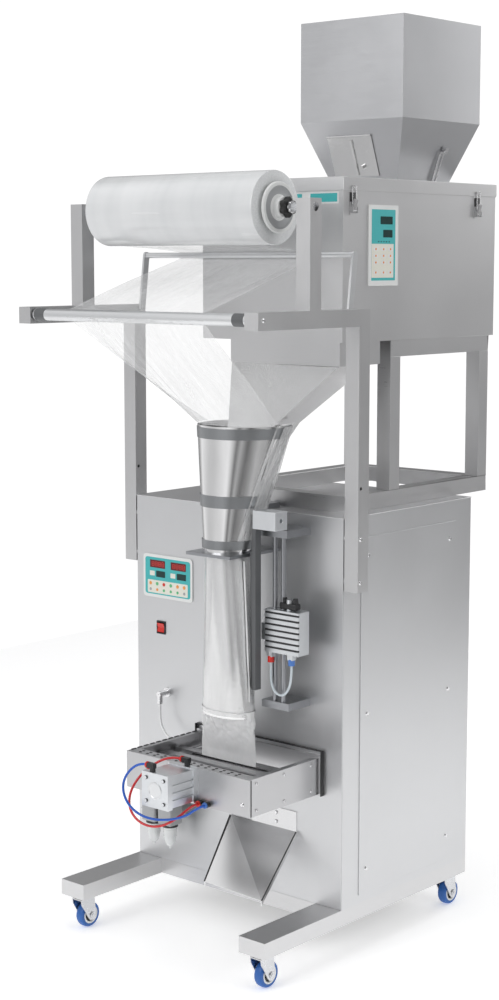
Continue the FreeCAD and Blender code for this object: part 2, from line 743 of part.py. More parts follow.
# --------------------------------------------------------------------------- forming set
def circle_wire(x, y, z, radius_x, radius_y=None):
    radius_y = radius_y or radius_x
    centre = FreeCAD.Vector(float(x), float(y), float(z))
    if float(radius_x) == float(radius_y):
        return Part.Wire([Part.Circle(centre, FreeCAD.Vector(0, 0, 1), float(radius_x)).toShape()])
    return Part.Wire([Part.Ellipse(centre, float(radius_x), float(radius_y)).toShape()])


collar_top = D.throat_z + D.collar_height
collar_y = line_y + D.collar_shift
LIP_ANGLE = 41
LEDGE_HALF = 70


def collar_body(grow, low_share=0.0, high_share=1.0):
    """The leaning cone between two heights, grown by a thickness."""
    wires = []
    for share in (low_share, high_share):
        radius = float(D.throat_radius) + share * float(D.collar_radius - D.throat_radius) + grow
        y = float(line_y) + share * float(D.collar_shift)
        wires.append(circle_wire(D.line_x, y, float(D.throat_z) + share * float(D.collar_height), radius))
    return Part.makeLoft(wires, True, True)


def back_wedge():
    """The space behind the collar's two lips, where the funnel comes in."""
    x, y = float(D.line_x), float(line_y)
    z_low, z_high = float(D.throat_z) - 5, float(collar_top) + 5
    reach = 400
    rise_y = reach * math.sin(math.radians(LIP_ANGLE))
    rise_x = reach * math.cos(math.radians(LIP_ANGLE))
    low = loop_wire([FreeCAD.Vector(x, y, z_low), FreeCAD.Vector(x + rise_x, y + rise_y, z_low),
                     FreeCAD.Vector(x - rise_x, y + rise_y, z_low)])
    shift = FreeCAD.Vector(0, float(D.collar_shift), z_high - z_low)
    high = low.copy()
    high.translate(shift)
    return Part.makeLoft([low, high], True, True)


def forming_set():
    """Collar, its three straps, the forming tube and the brackets that hold them."""
    wall = float(D.collar_wall)
    wedge = back_wedge()
    shell = collar_body(wall).cut(collar_body(0.0)).cut(wedge)
    straps = []
    for low, high in ((0.90, 0.985), (0.36, 0.455), (0.03, 0.10)):
        strap = collar_body(wall + 2, low, high).cut(collar_body(wall, low, high)).cut(wedge)
        straps.append(strap)
    node("forming_collar", formed(Part.makeCompound([shell, *straps])))
    skin = 1.5
    end = float(D.tube_end_z)
    throat = float(D.throat_z)
    head = throat + 120

    def sleeve(inset):
        radius = float(D.tube_radius) - inset
        straight = Part.makeLoft([circle_wire(D.line_x, line_y, throat, radius),
                                  circle_wire(D.line_x, line_y, head, radius)], True, True)
        flare = Part.makeLoft([circle_wire(D.line_x, line_y, throat, radius),
                               circle_wire(D.line_x, line_y, end, float(D.oval_width) / 2 - inset,
                                           float(D.oval_depth) / 2 - inset)], True, True)
        return straight.fuse(flare)

    node("forming_tube", formed(sleeve(0).cut(sleeve(skin)).removeSplitter()))
    plate_thick = 8
    reach = D.line_y + 75
    ledge_z = D.throat_z - plate_thick
    ledge = cut(box((2 * LEDGE_HALF, reach, plate_thick), (D.line_x - LEDGE_HALF, front - reach, ledge_z)),
                rod(D.throat_radius - 1, plate_thick, (D.line_x, line_y, ledge_z)))
    arm_z_low = cabinet_top + 6
    arm = box((40, D.line_y - D.tube_radius + 60, 6), (D.line_x - 20, line_y + D.tube_radius, arm_z_low))
    foot = box((40, 50, 6), (D.line_x - 20, front + 10, cabinet_top))
    node("tube_brackets", group(ledge, fuse(arm, foot)))


# --------------------------------------------------------------------------- film unwinding
post_y = front - D.post_y
pivot_y = front + 22
pivot_z = arm_top - 7
DANCER_LEAN = 7


def film_brackets():
    """Uprights bolted to the cabinet's sides, their arms, roll posts and the fixed axles."""
    side = D.tube_side
    pieces = []
    shaft_bore = D.shaft_radius + D.running
    for sign in SIDES.values():
        x = at_side(sign, bracket_x, side)
        for rise in BRACKET_BOLTS:
            spacer = (at_side(sign, half_width, D.bracket_gap), front + side / 4, D.upright_foot + rise)
            pieces.append(rod(9, D.bracket_gap, spacer, X))
        spare = rod(4, side + 2, (x - 1, front + side / 4, D.upright_foot + 247), X)
        pieces.append(cut(tube((side, side, D.upright_height - side), (x, front, D.upright_foot), Z), spare))
        arm_length = D.arm_reach + side - D.tube_wall
        arm = tube((side, arm_length, side), (x, front - D.arm_reach + D.tube_wall, arm_z), Y)
        pieces.append(arm)
        pieces.append(box((side, D.tube_wall, side), (x, front - D.arm_reach, arm_z)))
        post = tube((side, side, D.post_height), (x, post_y - side / 2, arm_top), Z)
        bore = rod(shaft_bore, side + 2, (x - 1, post_y, D.roll_axis), X)
        pieces.append(cut(post, bore))
        pin_length = D.bracket_gap + D.lever_thick + 3
        pin_x = at_side(sign, half_width - D.lever_thick - 3, pin_length)
        pieces.append(rod(5, pin_length, (pin_x, pivot_y, pivot_z), X))
    reach = bracket_x
    pieces.append(rod(6, 2 * reach, (-reach, front - D.roller_y, D.roller_z), X))
    return node("film_brackets", group(*pieces))


def film_roll():
    """Film on its core, held by two cones on a shaft that turns in the posts."""
    half = D.roll_length / 2
    film = ring(D.roll_radius, D.core_radius, D.roll_length, (-half, post_y, D.roll_axis), X)
    core_half = D.core_length / 2
    core = ring(D.core_radius, D.core_radius - 3, D.core_length, (-core_half, post_y, D.roll_axis), X)
    node("film_roll", group(film, core))
    flange = 8
    boss = 14
    cones = []
    for sign in SIDES.values():
        profile = [(D.shaft_radius, -25), (D.core_radius - 5, -25), (D.core_radius - 3, 0),
                   (D.flange_radius, 0), (D.flange_radius, flange - 3), (D.flange_radius - 3, flange),
                   (22, flange), (20, flange + boss), (D.shaft_radius, flange + boss)]
        cone = turned(profile, (sign * core_half, post_y, D.roll_axis), X)
        if sign < 0:
            cone.Placement = FreeCAD.Placement(FreeCAD.Vector(), FreeCAD.Rotation(FreeCAD.Vector(Y), -90))
            put(cone, (sign * core_half, post_y, D.roll_axis))
        cones.append(cone)
    node("roll_cones", group(*cones))
    reach = outer_x - 6
    shaft = rod(D.shaft_radius, 2 * reach, (-reach, post_y, D.roll_axis), X)
    clamps = []
    for sign in SIDES.values():
        x = at_side(sign, core_half + flange + boss, 18)
        collar = ring(17, D.shaft_radius, 18, (x, post_y, D.roll_axis), X)
        lobes = [rod(5, 12, (x + 3, post_y + 17 * math.cos(math.radians(60 * step)),
                             D.roll_axis + 17 * math.sin(math.radians(60 * step))), X) for step in range(6)]
        clamps.append(fuse(collar, *lobes))
    return node("roll_shaft", group(shaft, *clamps))


def rollers():
    """Front idler roller on its axle, and the swinging dancer bar behind the arms."""
    reach = half_width - 1
    bore = 6 + D.running
    node("front_roller", ring(D.roller_radius, bore, 2 * reach, (-reach, front - D.roller_y, D.roller_z), X))
    tilt = FreeCAD.Rotation(FreeCAD.Vector(X), -DANCER_LEAN)
    pieces = []
    for sign in SIDES.values():
        x = at_side(sign, half_width - D.lever_thick, D.lever_thick)
        eyes = [rod(9, D.lever_thick, (x, 0, z), X) for z in (0, D.dancer_length)]
        lever = fuse(box((D.lever_thick, 18, D.dancer_length), (x, -9, 0)), *eyes)
        pieces.append(cut(lever, rod(5 + D.running, D.lever_thick + 2, (x - 1, 0, 0), X)))
    bar = rod(D.dancer_bar, 2 * reach, (-reach, 0, D.dancer_length), X)
    return node("dancer_frame", put(fuse(*pieces, bar), (0, pivot_y, pivot_z), tilt))


FILM = 1


def strip(points, half_low, half_high):
    """A flat film web between two (y, z) places, with its own half width at each end."""
    (y0, z0), (y1, z1) = points
    run = FreeCAD.Vector(0, y1 - y0, z1 - z0)
    normal = FreeCAD.Vector(0, -run.z, run.y).normalize() * FILM
    y0, z0, y1, z1 = y0 - normal.y / 2, z0 - normal.z / 2, y1 - normal.y / 2, z1 - normal.z / 2
    corners = [FreeCAD.Vector(-half_low[0], y0, z0), FreeCAD.Vector(half_low[1], y0, z0),
               FreeCAD.Vector(half_high[1], y1, z1), FreeCAD.Vector(-half_high[0], y1, z1)]
    return Part.Face(loop_wire(corners)).extrude(normal)


def tangents(centre_a, radius_a, side_a, centre_b, radius_b, side_b):
    """Where a straight web leaves one roller and meets the next, as two (y, z) places."""
    run_y, run_z = centre_b[0] - centre_a[0], centre_b[1] - centre_a[1]
    length = math.hypot(run_y, run_z)
    lift = math.asin((side_a * radius_a - side_b * radius_b) / length)
    angle = math.atan2(run_z, run_y) + math.pi / 2 - lift
    across = (math.cos(angle), math.sin(angle))
    return [(centre[0] + side * radius * across[0], centre[1] + side * radius * across[1])
            for centre, radius, side in ((centre_a, radius_a, side_a), (centre_b, radius_b, side_b))]


def film():
    """The web from roll to dancer to front roller, the web to the collar, and the bag."""
    half = float(D.film_width) / 2
    lean = math.radians(DANCER_LEAN)
    clear = float(D.gap)
    bar = (float(pivot_y) + float(D.dancer_length) * math.sin(lean),
           float(pivot_z) + float(D.dancer_length) * math.cos(lean))
    roll = (float(post_y), float(D.roll_axis))
    roller = (float(front - D.roller_y), float(D.roller_z))
    bar_reach = float(D.dancer_bar) + clear
    roller_reach = float(D.roller_radius) + clear
    middle = FILM / 2
    edges = (half, half)
    out = tangents(roll, float(D.roll_radius) + clear + middle, -1, bar, bar_reach + middle, 1)
    home = tangents(roller, roller_reach + middle, 1, bar, bar_reach + middle, -1)
    sleeve = Part.makeCylinder(bar_reach + FILM, 2 * half, FreeCAD.Vector(-half, *bar), FreeCAD.Vector(X))
    hollow = Part.makeCylinder(bar_reach, 2 * half, FreeCAD.Vector(-half, *bar), FreeCAD.Vector(X))
    fore = box_solid(-half, half, bar[0] - 20, bar[0], bar[1] - 20, bar[1] + 20)
    wrap = sleeve.cut(hollow).cut(fore)
    node("film_web_upper", formed(wrap.fuse([strip(out, edges, edges), strip(home, edges, edges)])))
    line = float(D.line_x)
    rim = (float(collar_y - D.collar_radius) + 6, float(collar_top) + 3)
    fall = tangents(rim, 0, 1, roller, roller_reach + middle, 1)
    narrow = float(D.rim_half)
    node("film_web_lower", formed(strip(fall, (narrow - line, narrow + line), edges)))
    flat_top = float(D.jaw_base + D.jaw_height) + 5
    half_flat = float(D.bag_width) / 2
    mouth = circle_wire(line, line_y, float(D.tube_end_z), D.oval_width / 2 + FILM, D.oval_depth / 2 + FILM)
    bag = Part.makeLoft([mouth, circle_wire(line, line_y, flat_top, half_flat, 6)], True, True)
    tail = box_solid(line - half_flat, line + half_flat, float(line_y) - FILM, float(line_y) + FILM,
                     float(slit_z) + 4.5, flat_top + 1)
    return node("bag_film", formed(bag.fuse(tail)))


def box_solid(x0, x1, y0, y1, z0, z1):
    return Part.makeBox(x1 - x0, y1 - y0, z1 - z0, FreeCAD.Vector(x0, y0, z0))


# --------------------------------------------------------------------------- vertical sealer
slide_y = front - 72
slide_x = D.line_x + 116
SLIDE_SPACING = 26
SLIDE_LOW = 640
SLIDE_HIGH = 1040
CARRIAGE_PORTS = (14, 78)
FOOT_HEIGHT = 18


def vertical_sealer():
    """Long heater bar beside the tube, and the film-pull carriage on its two upright rods."""
    reach = -slide_y + front
    feet = []
    for z, ahead in ((SLIDE_LOW - FOOT_HEIGHT, 9), (SLIDE_HIGH, 16)):
        feet.append(box((84, reach + ahead, FOOT_HEIGHT), (slide_x - 34, slide_y - ahead, z)))
    rods = [rod(6, SLIDE_HIGH - SLIDE_LOW, (slide_x + shift, slide_y, SLIDE_LOW), Z)
            for shift in (0, SLIDE_SPACING)]
    node("seal_mount", group(*feet, *rods))
    bar_y = line_y - 8
    body = box((70, 44, 44), (slide_x - 20, bar_y - 14, SLIDE_HIGH + 18 + 4))
    seat = box((30, 30, 4), (slide_x - 10, bar_y + 6, SLIDE_HIGH + 18))
    ram_bore = rod(5 + D.running, 80, (slide_x - 25, bar_y + 8, SLIDE_HIGH + 44), X)
    node("seal_cylinder", group(cut(fuse(body, seat), ram_bore)))
    ram = rod(5, 60, (slide_x - 34, bar_y + 8, SLIDE_HIGH + 44), X)
    bar_x = slide_x - 33
    hanger = box((12, 20, SLIDE_HIGH - 630), (bar_x, bar_y - 2, 670))
    heater = box((7, 12, 330), (bar_x - 7, bar_y + 2, 672))
    node("seal_bar", fuse(ram, hanger, heater, box((12, 20, 20), (bar_x, bar_y - 2, SLIDE_HIGH + 34))))
    block_x = slide_x - 16
    block = box((104, 40, 104), (block_x, slide_y - 20, 762))
    grooves = [box((106, 4, 5), (block_x - 1, slide_y - 20, 772 + 14 * step)) for step in range(7)]
    bores = [rod(6 + D.running, 110, (slide_x + shift, slide_y, 758), Z) for shift in (0, SLIDE_SPACING)]
    pad = box((12, 24, 40), (block_x - 12, slide_y - 18, 790))
    top_fitting = rod(9, 26, (block_x + 62, slide_y, 866))
    port_y = slide_y - 13.2
    elbows = []
    for x in CARRIAGE_PORTS:
        stem = rod(7, 24, (block_x + x, port_y, 738))
        elbows.append(fuse(stem, box((16, 13.6, 12), (block_x + x - 8, port_y - 6.8, 750))))
    return node("pull_carriage", group(cut(block, *grooves, *bores), pad, top_fitting, *elbows))


# --------------------------------------------------------------------------- jaw box
jaw_left = D.line_x + 3 - D.jaw_width / 2
jaw_right = D.line_x + 3 + D.jaw_width / 2
jaw_front = front - D.jaw_depth
jaw_top = D.jaw_base + D.jaw_height
guide_z = D.jaw_base + 50
jaw_bar_z = guide_z - D.jaw_bar / 2
slit_z = guide_z + 11
jaw_face_y = line_y + 2.4


def jaw_box():
    """Frame, guide rods and fixed rear jaw; the front jaw, its cylinder and the cutter."""
    plate = D.jaw_plate
    inside = D.jaw_width - 2 * plate
    back = 8
    face = box((D.jaw_width, plate, D.jaw_height), (jaw_left, jaw_front, D.jaw_base))
    walls = [box((plate, D.jaw_depth - plate - back, D.jaw_height), (x, jaw_front + plate, D.jaw_base))
             for x in (jaw_left, jaw_right - plate)]
    rear = box((D.jaw_width + 10, back, D.jaw_height + 10), (jaw_left - 5, front - back, D.jaw_base - 5))
    flange = box((inside, 30, 3), (jaw_left + plate, jaw_front + plate, jaw_top - 3))
    holes = [rod(2.2, 5, (jaw_left + plate + 30 + 24 * step, jaw_front + plate + row, jaw_top - 4))
             for step in range(14) for row in (9, 21)]
    side_flanges = [box((12, D.jaw_depth - plate - back - 30, 3), (x, jaw_front + plate + 30, jaw_top - 3))
                    for x in (jaw_left + plate, jaw_right - plate - 12)]
    ram_hole = rod(D.rod_radius + 1, plate + 2, (D.line_x, jaw_front - 1, guide_z), Y)
    guides = [rod(D.guide_radius, D.jaw_depth - plate - back, (x, jaw_front + plate, guide_z), Y)
              for x in (jaw_left + D.guide_inset, jaw_right - D.guide_inset)]
    bar_x = jaw_left + plate + 8
    bar_width = inside - 16
    rear_jaw = cut(box((bar_width, D.jaw_thick, D.jaw_bar), (bar_x, jaw_face_y, jaw_bar_z)),
                   *[rod(D.guide_radius, 60, (x, jaw_face_y - 10, guide_z), Y)
                     for x in (jaw_left + D.guide_inset, jaw_right - D.guide_inset)],
                   box((bar_width - 120, 14, 4), (bar_x + 60, jaw_face_y - 1, slit_z)))
    node("jaw_housing", group(cut(face, ram_hole), *walls, rear, cut(flange, *holes), *side_flanges,
                              *guides, rear_jaw))
    front_y = line_y - D.jaw_open - D.jaw_thick
    rod_length = front_y - jaw_front + 60
    slot = box((bar_width - 120, D.jaw_thick + 2, 4), (bar_x + 60, front_y - 1, slit_z))
    moving = cut(box((bar_width, D.jaw_thick, D.jaw_bar), (bar_x, front_y, jaw_bar_z)),
                 *[rod(D.guide_radius + D.running, 60, (x, front_y - 10, guide_z), Y)
                   for x in (jaw_left + D.guide_inset, jaw_right - D.guide_inset)], slot)
    ram = rod(D.rod_radius, rod_length, (D.line_x, front_y - rod_length, guide_z), Y)
    node("front_jaw", fuse(moving, ram))
    blade = box((bar_width - 130, 36, 1.5), (bar_x + 65, front_y - 14, slit_z + D.running))
    carrier = box((60, 10, 12), (D.line_x - 80, front_y - 24, slit_z - 4))
    node("cutter_blade", fuse(blade, carrier))
    half = D.ram_side / 2
    centre_z = guide_z
    end = 16
    barrel_y = jaw_front - D.ram_length
    step_in = 3
    barrel = box((D.ram_side - 2 * step_in, D.ram_length - 2 * end, D.ram_side - 2 * step_in),
                 (D.line_x - half + step_in, barrel_y + end, centre_z - half + step_in))
    caps = [box((D.ram_side, end, D.ram_side), (D.line_x - half, y, centre_z - half))
            for y in (barrel_y, jaw_front - end)]
    grooves = [box((3, D.ram_length - 2 * end, 8), (D.line_x + shift, barrel_y + end, centre_z + z - 4))
               for shift in (-half + 3, half - 6) for z in (-18, 0, 18)]
    bore = rod(D.rod_radius + D.running, D.ram_length - end, (D.line_x, barrel_y + end, centre_z), Y)
    bolts = [rod(4, 3, (D.line_x + x, barrel_y - 3, centre_z + z), Y) for x in (-28, 28) for z in (-28, 28)]
    return node("jaw_cylinder", group(cut(fuse(barrel, *caps), bore, *grooves), *bolts))


def chute_bolt_x():
    return D.line_x + 62


def chute_bolt_levels():
    return (D.jaw_base - 98, D.jaw_base - 75)


def chute():
    """Folded sheet slide under the jaws, with side lips and a fixing flange on the cabinet."""
    x_left, x_right = float(D.line_x) - 89, float(D.line_x) + 126
    top_z = float(D.jaw_base) - 112
    low_z = top_z - 140
    y0 = float(front)
    out = 133
    skin = 2
    corners = {"tl": (x_left, y0 - skin, top_z), "tr": (x_right, y0 - skin, top_z),
               "bl": (x_left + 29, y0 - out, low_z + 6), "br": (x_right, y0 - out, low_z)}
    point = {key: FreeCAD.Vector(*place) for key, place in corners.items()}
    down = FreeCAD.Vector(0, 0.72, -0.69) * skin
    halves = [Part.Face(loop_wire([point["tl"], point["bl"], point["br"]])).extrude(down),
              Part.Face(loop_wire([point["tl"], point["br"], point["tr"]])).extrude(down)]
    lips = []
    for high, low, shift in (("tl", "bl", skin), ("tr", "br", -skin)):
        drop = FreeCAD.Vector(0, 0, -14)
        lip = Part.Face(loop_wire([point[high], point[low], point[low] + drop, point[high] + drop]))
        lips.append(lip.extrude(FreeCAD.Vector(shift, 0, 0)))
    flange = box_solid(x_left + 70, x_right, y0 - skin, y0, top_z - 6, top_z + 50)
    return node("chute", formed(halves[0].fuse([halves[1], *lips, flange])))


# --------------------------------------------------------------------------- air system
bulkhead_x = D.line_x - 308
BULKHEAD_Z = 580
HOSE_ENDS = (52, 74)


def air_parts():
    """Push-in fittings, and the filter and oiler pair under the jaw box."""
    barrel_y = jaw_front - D.ram_length
    top_z = guide_z + D.ram_side / 2
    low_z = guide_z - D.ram_side / 2
    x = D.line_x
    tops = [fuse(rod(7, 14, (x + shift, y, top_z)), box((22, 12, 12), (x + shift - 15, y - 6, top_z + 8)))
            for shift, y in ((-14, barrel_y + 8), (14, jaw_front - 8))]
    under = [rod(7, 14, (x + shift, jaw_front - 14, D.jaw_base + 8), Y) for shift in HOSE_ENDS]
    nut = rod(12, 6, (bulkhead_x, front - 6, BULKHEAD_Z), Y)
    elbow = fuse(rod(7, 30, (bulkhead_x, front - 36, BULKHEAD_Z), Y),
                 rod(7, 24, (bulkhead_x, front - 30, BULKHEAD_Z - 24), Z))
    entry = rod(7, 14, (jaw_left - 14, front - 45, jaw_top - 30), X)
    node("air_fittings", group(*tops, *under, fuse(nut, elbow), entry))
    unit_x = (bulkhead_x - 2, bulkhead_x + 55)
    pieces = []
    for place in unit_x:
        pieces.append(box((46, 46, 50), (place - 23, front - 76, 250)))
        pieces.append(taper(11, 18, 63, (place, front - 53, 187)))
    pieces.append(box((11, 30, 30), (bulkhead_x + 21, front - 68, 260)))
    pieces.append(cut(box((102, 60, 6), (bulkhead_x - 25, front - 60, 300)),
                      rod(6, 8, (unit_x[0], front - 53, 299))))
    pieces.append(rod(5, 24, (unit_x[0], front - 53, 300)))
    port = cut(rod(8, 16, (bulkhead_x - 2 - 23 - 16, front - 53, 275), X),
               rod(4, 16, (bulkhead_x - 2 - 23 - 16, front - 53, 275), X))
    node("air_filter", group(*pieces, port))
    cap = cut(rod(16, 28, (unit_x[0], front - 53, 306 + D.gap)),
              rod(5 + D.running, 20, (unit_x[0], front - 53, 306)))
    return node("regulator_knob", cap)


def hose(label, route, radius):
    """A tube of straight runs joined by arcs as large as their runs allow."""
    points = [FreeCAD.Vector(*place) for place in route]
    edges = []
    radii = []
    start = points[0]
    for before, corner, after in zip(points, points[1:], points[2:]):
        back = (before - corner)
        ahead = (after - corner)
        turn = math.pi - back.getAngle(ahead)
        reach = 0.45 * min(back.Length, ahead.Length)
        radii.append(reach / math.tan(turn / 2))
        entry = corner + back.normalize() * reach
        leave = corner + ahead.normalize() * reach
        bisector = (entry + leave) * 0.5 - corner
        centre = corner + bisector.normalize() * math.hypot(reach, radii[-1])
        middle = centre + (corner - centre).normalize() * radii[-1]
        edges.append(Part.LineSegment(start, entry).toShape())
        edges.append(Part.Arc(entry, middle, leave).toShape())
        start = leave
    edges.append(Part.LineSegment(start, points[-1]).toShape())
    path = Part.Wire(edges)
    section = Part.Wire([Part.Circle(points[0], points[1] - points[0], radius).toShape()])
    solid = path.makePipeShell([section], True, False)
    expected = math.pi * radius ** 2 * path.Length
    print(label, "length", round(path.Length), "radii", [round(value) for value in radii],
          "volume ratio", round(solid.Volume / expected, 4))
    return node(label, formed(solid))


# Each route is (x, y from the cabinet's front, z), starting at the hose's first fitting.
RED_ROUTE = [(74, -273, 516), (42, -273, 516), (6, -290, 501), (-20, -322, 470), (-28, -350, 432),
             (-10, -370, 398), (30, -376, 374), (72, -362, 368), (108, -338, 387), (127, -302, 418),
             (127, -279, 418)]
BLUE_ROUTE = [(46, -362, 516), (20, -362, 516), (-6, -376, 494), (-16, -386, 462), (-4, -390, 430),
              (22, -387, 405), (56, -376, 391), (92, -353, 388), (130, -328, 398), (149, -302, 418),
              (149, -279, 418)]
WHITE_ROUTE = [(-233, -30, 556), (-233, -30, 530), (-227, -34, 504), (-208, -38, 482), (-184, -42, 472),
               (-159, -45, 470), (-135, -45, 470)]
CLEAR_ROUTE = [(189, -85.2, 738), (189, -85.2, 712), (193, -89, 686), (208, -92, 664), (234, -92, 660),
               (250, -89, 682), (253, -85.2, 712), (253, -85.2, 738)]


def hoses():
    """The four air hoses that show."""
    routes = {"hose_red": RED_ROUTE, "hose_blue": BLUE_ROUTE, "hose_white": WHITE_ROUTE,
              "hose_clear": CLEAR_ROUTE}
    for label, route in routes.items():
        hose(label, [(x, y + float(front), z) for x, y, z in route], 3)


# --------------------------------------------------------------------------- build
chassis()
castors()
cabinet()
screws()
controls()
control_gear()
stand()
weigher_case()
latches()
keypad()
lid()
hopper()
hopper_doors()
feeder()
funnel()
forming_set()
film_brackets()
film_roll()
rollers()
film()
vertical_sealer()
jaw_box()
chute()
air_parts()
hoses()
doc.recompute()


def check_and_write():
    """Refuse a failed object or an invalid shape, then write each sub-part's STEP file."""
    for thing in doc.Objects:
        bad = {"Invalid", "Error"} & set(thing.State)
        if bad:
            raise RuntimeError(f"{thing.Name} ({thing.Label}) is {bad}")
    for piece in NODES:
        if piece.Shape.isNull() or not piece.Shape.isValid():
            raise RuntimeError(f"{piece.Label} has no valid shape")
    os.makedirs("parts", exist_ok=True)
    for piece in NODES:
        piece.Shape.exportStep(f"parts/{piece.Label}.step")
        print(piece.Label, len(piece.Shape.Solids), round(piece.Shape.Volume / 1000, 1), "cm3")


check_and_write()
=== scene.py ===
# %% [markdown]
# # Vertical form fill sealer
# This file dresses a packing machine that was designed as separate metal parts. The parts arrive
# already in place, in metres, with +Z up and the operator on the -Y side. Everything below either
# gives one of those parts a finish or adds a detailed piece that moves with one of them.

# %% Load the machine
import json
import math

import bmesh
import bpy
from mathutils import Matrix, Vector, noise

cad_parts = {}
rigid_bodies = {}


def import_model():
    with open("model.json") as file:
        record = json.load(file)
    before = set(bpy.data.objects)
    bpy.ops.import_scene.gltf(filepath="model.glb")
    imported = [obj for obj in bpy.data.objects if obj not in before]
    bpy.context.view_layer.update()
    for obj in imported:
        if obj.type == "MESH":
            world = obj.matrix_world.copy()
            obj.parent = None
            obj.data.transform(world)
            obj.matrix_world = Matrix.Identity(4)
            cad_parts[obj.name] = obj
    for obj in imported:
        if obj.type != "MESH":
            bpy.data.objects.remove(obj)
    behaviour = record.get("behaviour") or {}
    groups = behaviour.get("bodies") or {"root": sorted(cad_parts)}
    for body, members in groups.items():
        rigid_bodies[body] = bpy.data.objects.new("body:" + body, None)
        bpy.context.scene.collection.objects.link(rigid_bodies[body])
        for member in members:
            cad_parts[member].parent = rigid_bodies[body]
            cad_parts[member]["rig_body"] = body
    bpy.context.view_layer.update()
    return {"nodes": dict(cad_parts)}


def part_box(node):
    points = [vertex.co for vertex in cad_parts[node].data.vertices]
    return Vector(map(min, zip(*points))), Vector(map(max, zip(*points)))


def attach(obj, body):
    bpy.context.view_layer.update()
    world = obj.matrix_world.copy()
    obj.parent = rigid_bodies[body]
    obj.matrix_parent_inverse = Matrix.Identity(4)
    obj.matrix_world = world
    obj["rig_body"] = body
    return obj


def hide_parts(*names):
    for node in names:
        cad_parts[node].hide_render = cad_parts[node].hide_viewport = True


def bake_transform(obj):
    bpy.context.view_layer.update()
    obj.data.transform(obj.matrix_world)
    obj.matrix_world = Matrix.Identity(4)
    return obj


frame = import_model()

MM = 0.001
nodes = frame["nodes"]
print("parts loaded:", len(nodes))


def middle(node):
    """The centre of a part's box."""
    low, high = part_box(node)
    return (low + high) / 2


# %% [markdown]
# ## Camera
# The camera stands in front and to the right of the machine, a little above the weigher's base, and
# looks slightly down. Its three axes are set directly, which keeps the small roll of a hand-held view.

# %% Camera
CAMERA_PLACE = Vector((2.935, -3.4817, 1.6885))
CAMERA_RIGHT = Vector((0.7547, 0.6561, 0.0))
CAMERA_UP = Vector((-0.0860, 0.0989, 0.9915))
camera_data = bpy.data.cameras.new("camera")
camera_data.lens = 65.14
camera = bpy.data.objects.new("camera", camera_data)
bpy.context.scene.collection.objects.link(camera)
camera_back = CAMERA_RIGHT.cross(CAMERA_UP)
turn = Matrix((CAMERA_RIGHT, CAMERA_UP, camera_back)).transposed()
camera.matrix_world = Matrix.Translation(CAMERA_PLACE) @ turn.to_4x4()
bpy.context.scene.camera = camera
print("camera is", round(CAMERA_PLACE.length, 2), "m from the machine's foot")

# %% [markdown]
# ## Small mesh tools
# Most added pieces are one of five kinds: a rounded block, a turned shape, a round bar along a line,
# a flat outline with thickness, or a free surface given by a formula. Each tool builds one in a
# bmesh, and `place` turns the bmesh into an object that rides on a body.

# %% Making a piece from a bmesh
def place(name, mesh, body, finishes, slot=None, smooth=True):
    """Turn a bmesh into an object that rides on a body, with one or more finishes."""
    data = bpy.data.meshes.new(name)
    bmesh.ops.recalc_face_normals(mesh, faces=mesh.faces)
    mesh.to_mesh(data)
    mesh.free()
    if smooth:
        data.polygons.foreach_set("use_smooth", [True] * len(data.polygons))
        data.set_sharp_from_angle(angle=math.radians(32))
    obj = bpy.data.objects.new(name, data)
    bpy.context.scene.collection.objects.link(obj)
    for finish in (finishes if isinstance(finishes, (list, tuple)) else [finishes]):
        data.materials.append(finish)
    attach(obj, body)
    return obj


def facing(direction):
    """A rotation that takes +Z to a direction."""
    return Vector((0, 0, 1)).rotation_difference(Vector(direction)).to_matrix().to_4x4()


# %% Blocks, turned shapes and bars
def add_block(mesh, low, high, round_by=0.0, steps=2, finish=0, turn=None):
    """Add a block between two corners, with its edges rounded."""
    low, high = Vector(low), Vector(high)
    size = high - low
    grown = bmesh.new()
    bmesh.ops.create_cube(grown, size=1.0)
    bmesh.ops.scale(grown, vec=size, verts=grown.verts)
    if round_by:
        bmesh.ops.bevel(grown, geom=grown.edges[:], offset=round_by, segments=steps,
                        affect="EDGES", profile=0.5)
    if turn is not None:
        bmesh.ops.transform(grown, matrix=turn, verts=grown.verts)
    bmesh.ops.translate(grown, vec=(low + high) / 2, verts=grown.verts)
    join(mesh, grown, finish)


def join(mesh, other, finish=0):
    """Copy one bmesh into another, with a finish number on its faces."""
    copies = {vert: mesh.verts.new(vert.co) for vert in other.verts}
    for face in other.faces:
        new_face = mesh.faces.new([copies[vert] for vert in face.verts])
        new_face.material_index = finish
    other.free()


def add_turned(mesh, profile, centre, axis=(0, 0, 1), sides=48, finish=0, closed=True):
    """Add (radius, height) points turned about an axis. A closed profile is a solid ring."""
    spin = Matrix.Translation(Vector(centre)) @ facing(axis)
    rings = []
    for radius, height in profile:
        if radius < 1e-7:
            rings.append([mesh.verts.new(spin @ Vector((0, 0, height)))])
            continue
        ring = []
        for step in range(sides):
            angle = math.tau * step / sides
            here = Vector((radius * math.cos(angle), radius * math.sin(angle), height))
            ring.append(mesh.verts.new(spin @ here))
        rings.append(ring)
    pairs = list(zip(rings, rings[1:]))
    if closed:
        pairs.append((rings[-1], rings[0]))
    for index, (one, two) in enumerate(pairs):
        number = finish[index % len(finish)] if isinstance(finish, (list, tuple)) else finish
        for step in range(sides):
            after = (step + 1) % sides
            corners = [one[step % len(one)], one[after % len(one)],
                       two[after % len(two)], two[step % len(two)]]
            unique = list(dict.fromkeys(corners))
            if len(unique) > 2:
                mesh.faces.new(unique).material_index = number


def add_bar(mesh, start, end, radius, sides=20, finish=0, round_by=0.0):
    """Add a round bar between two points, with its end edges eased."""
    start, end = Vector(start), Vector(end)
    length = (end - start).length
    ease = round_by or radius * 0.12
    profile = [(0, 0), (radius - ease, 0), (radius, ease),
               (radius, length - ease), (radius - ease, length), (0, length)]
    add_turned(mesh, profile, start, end - start, sides, finish, closed=False)


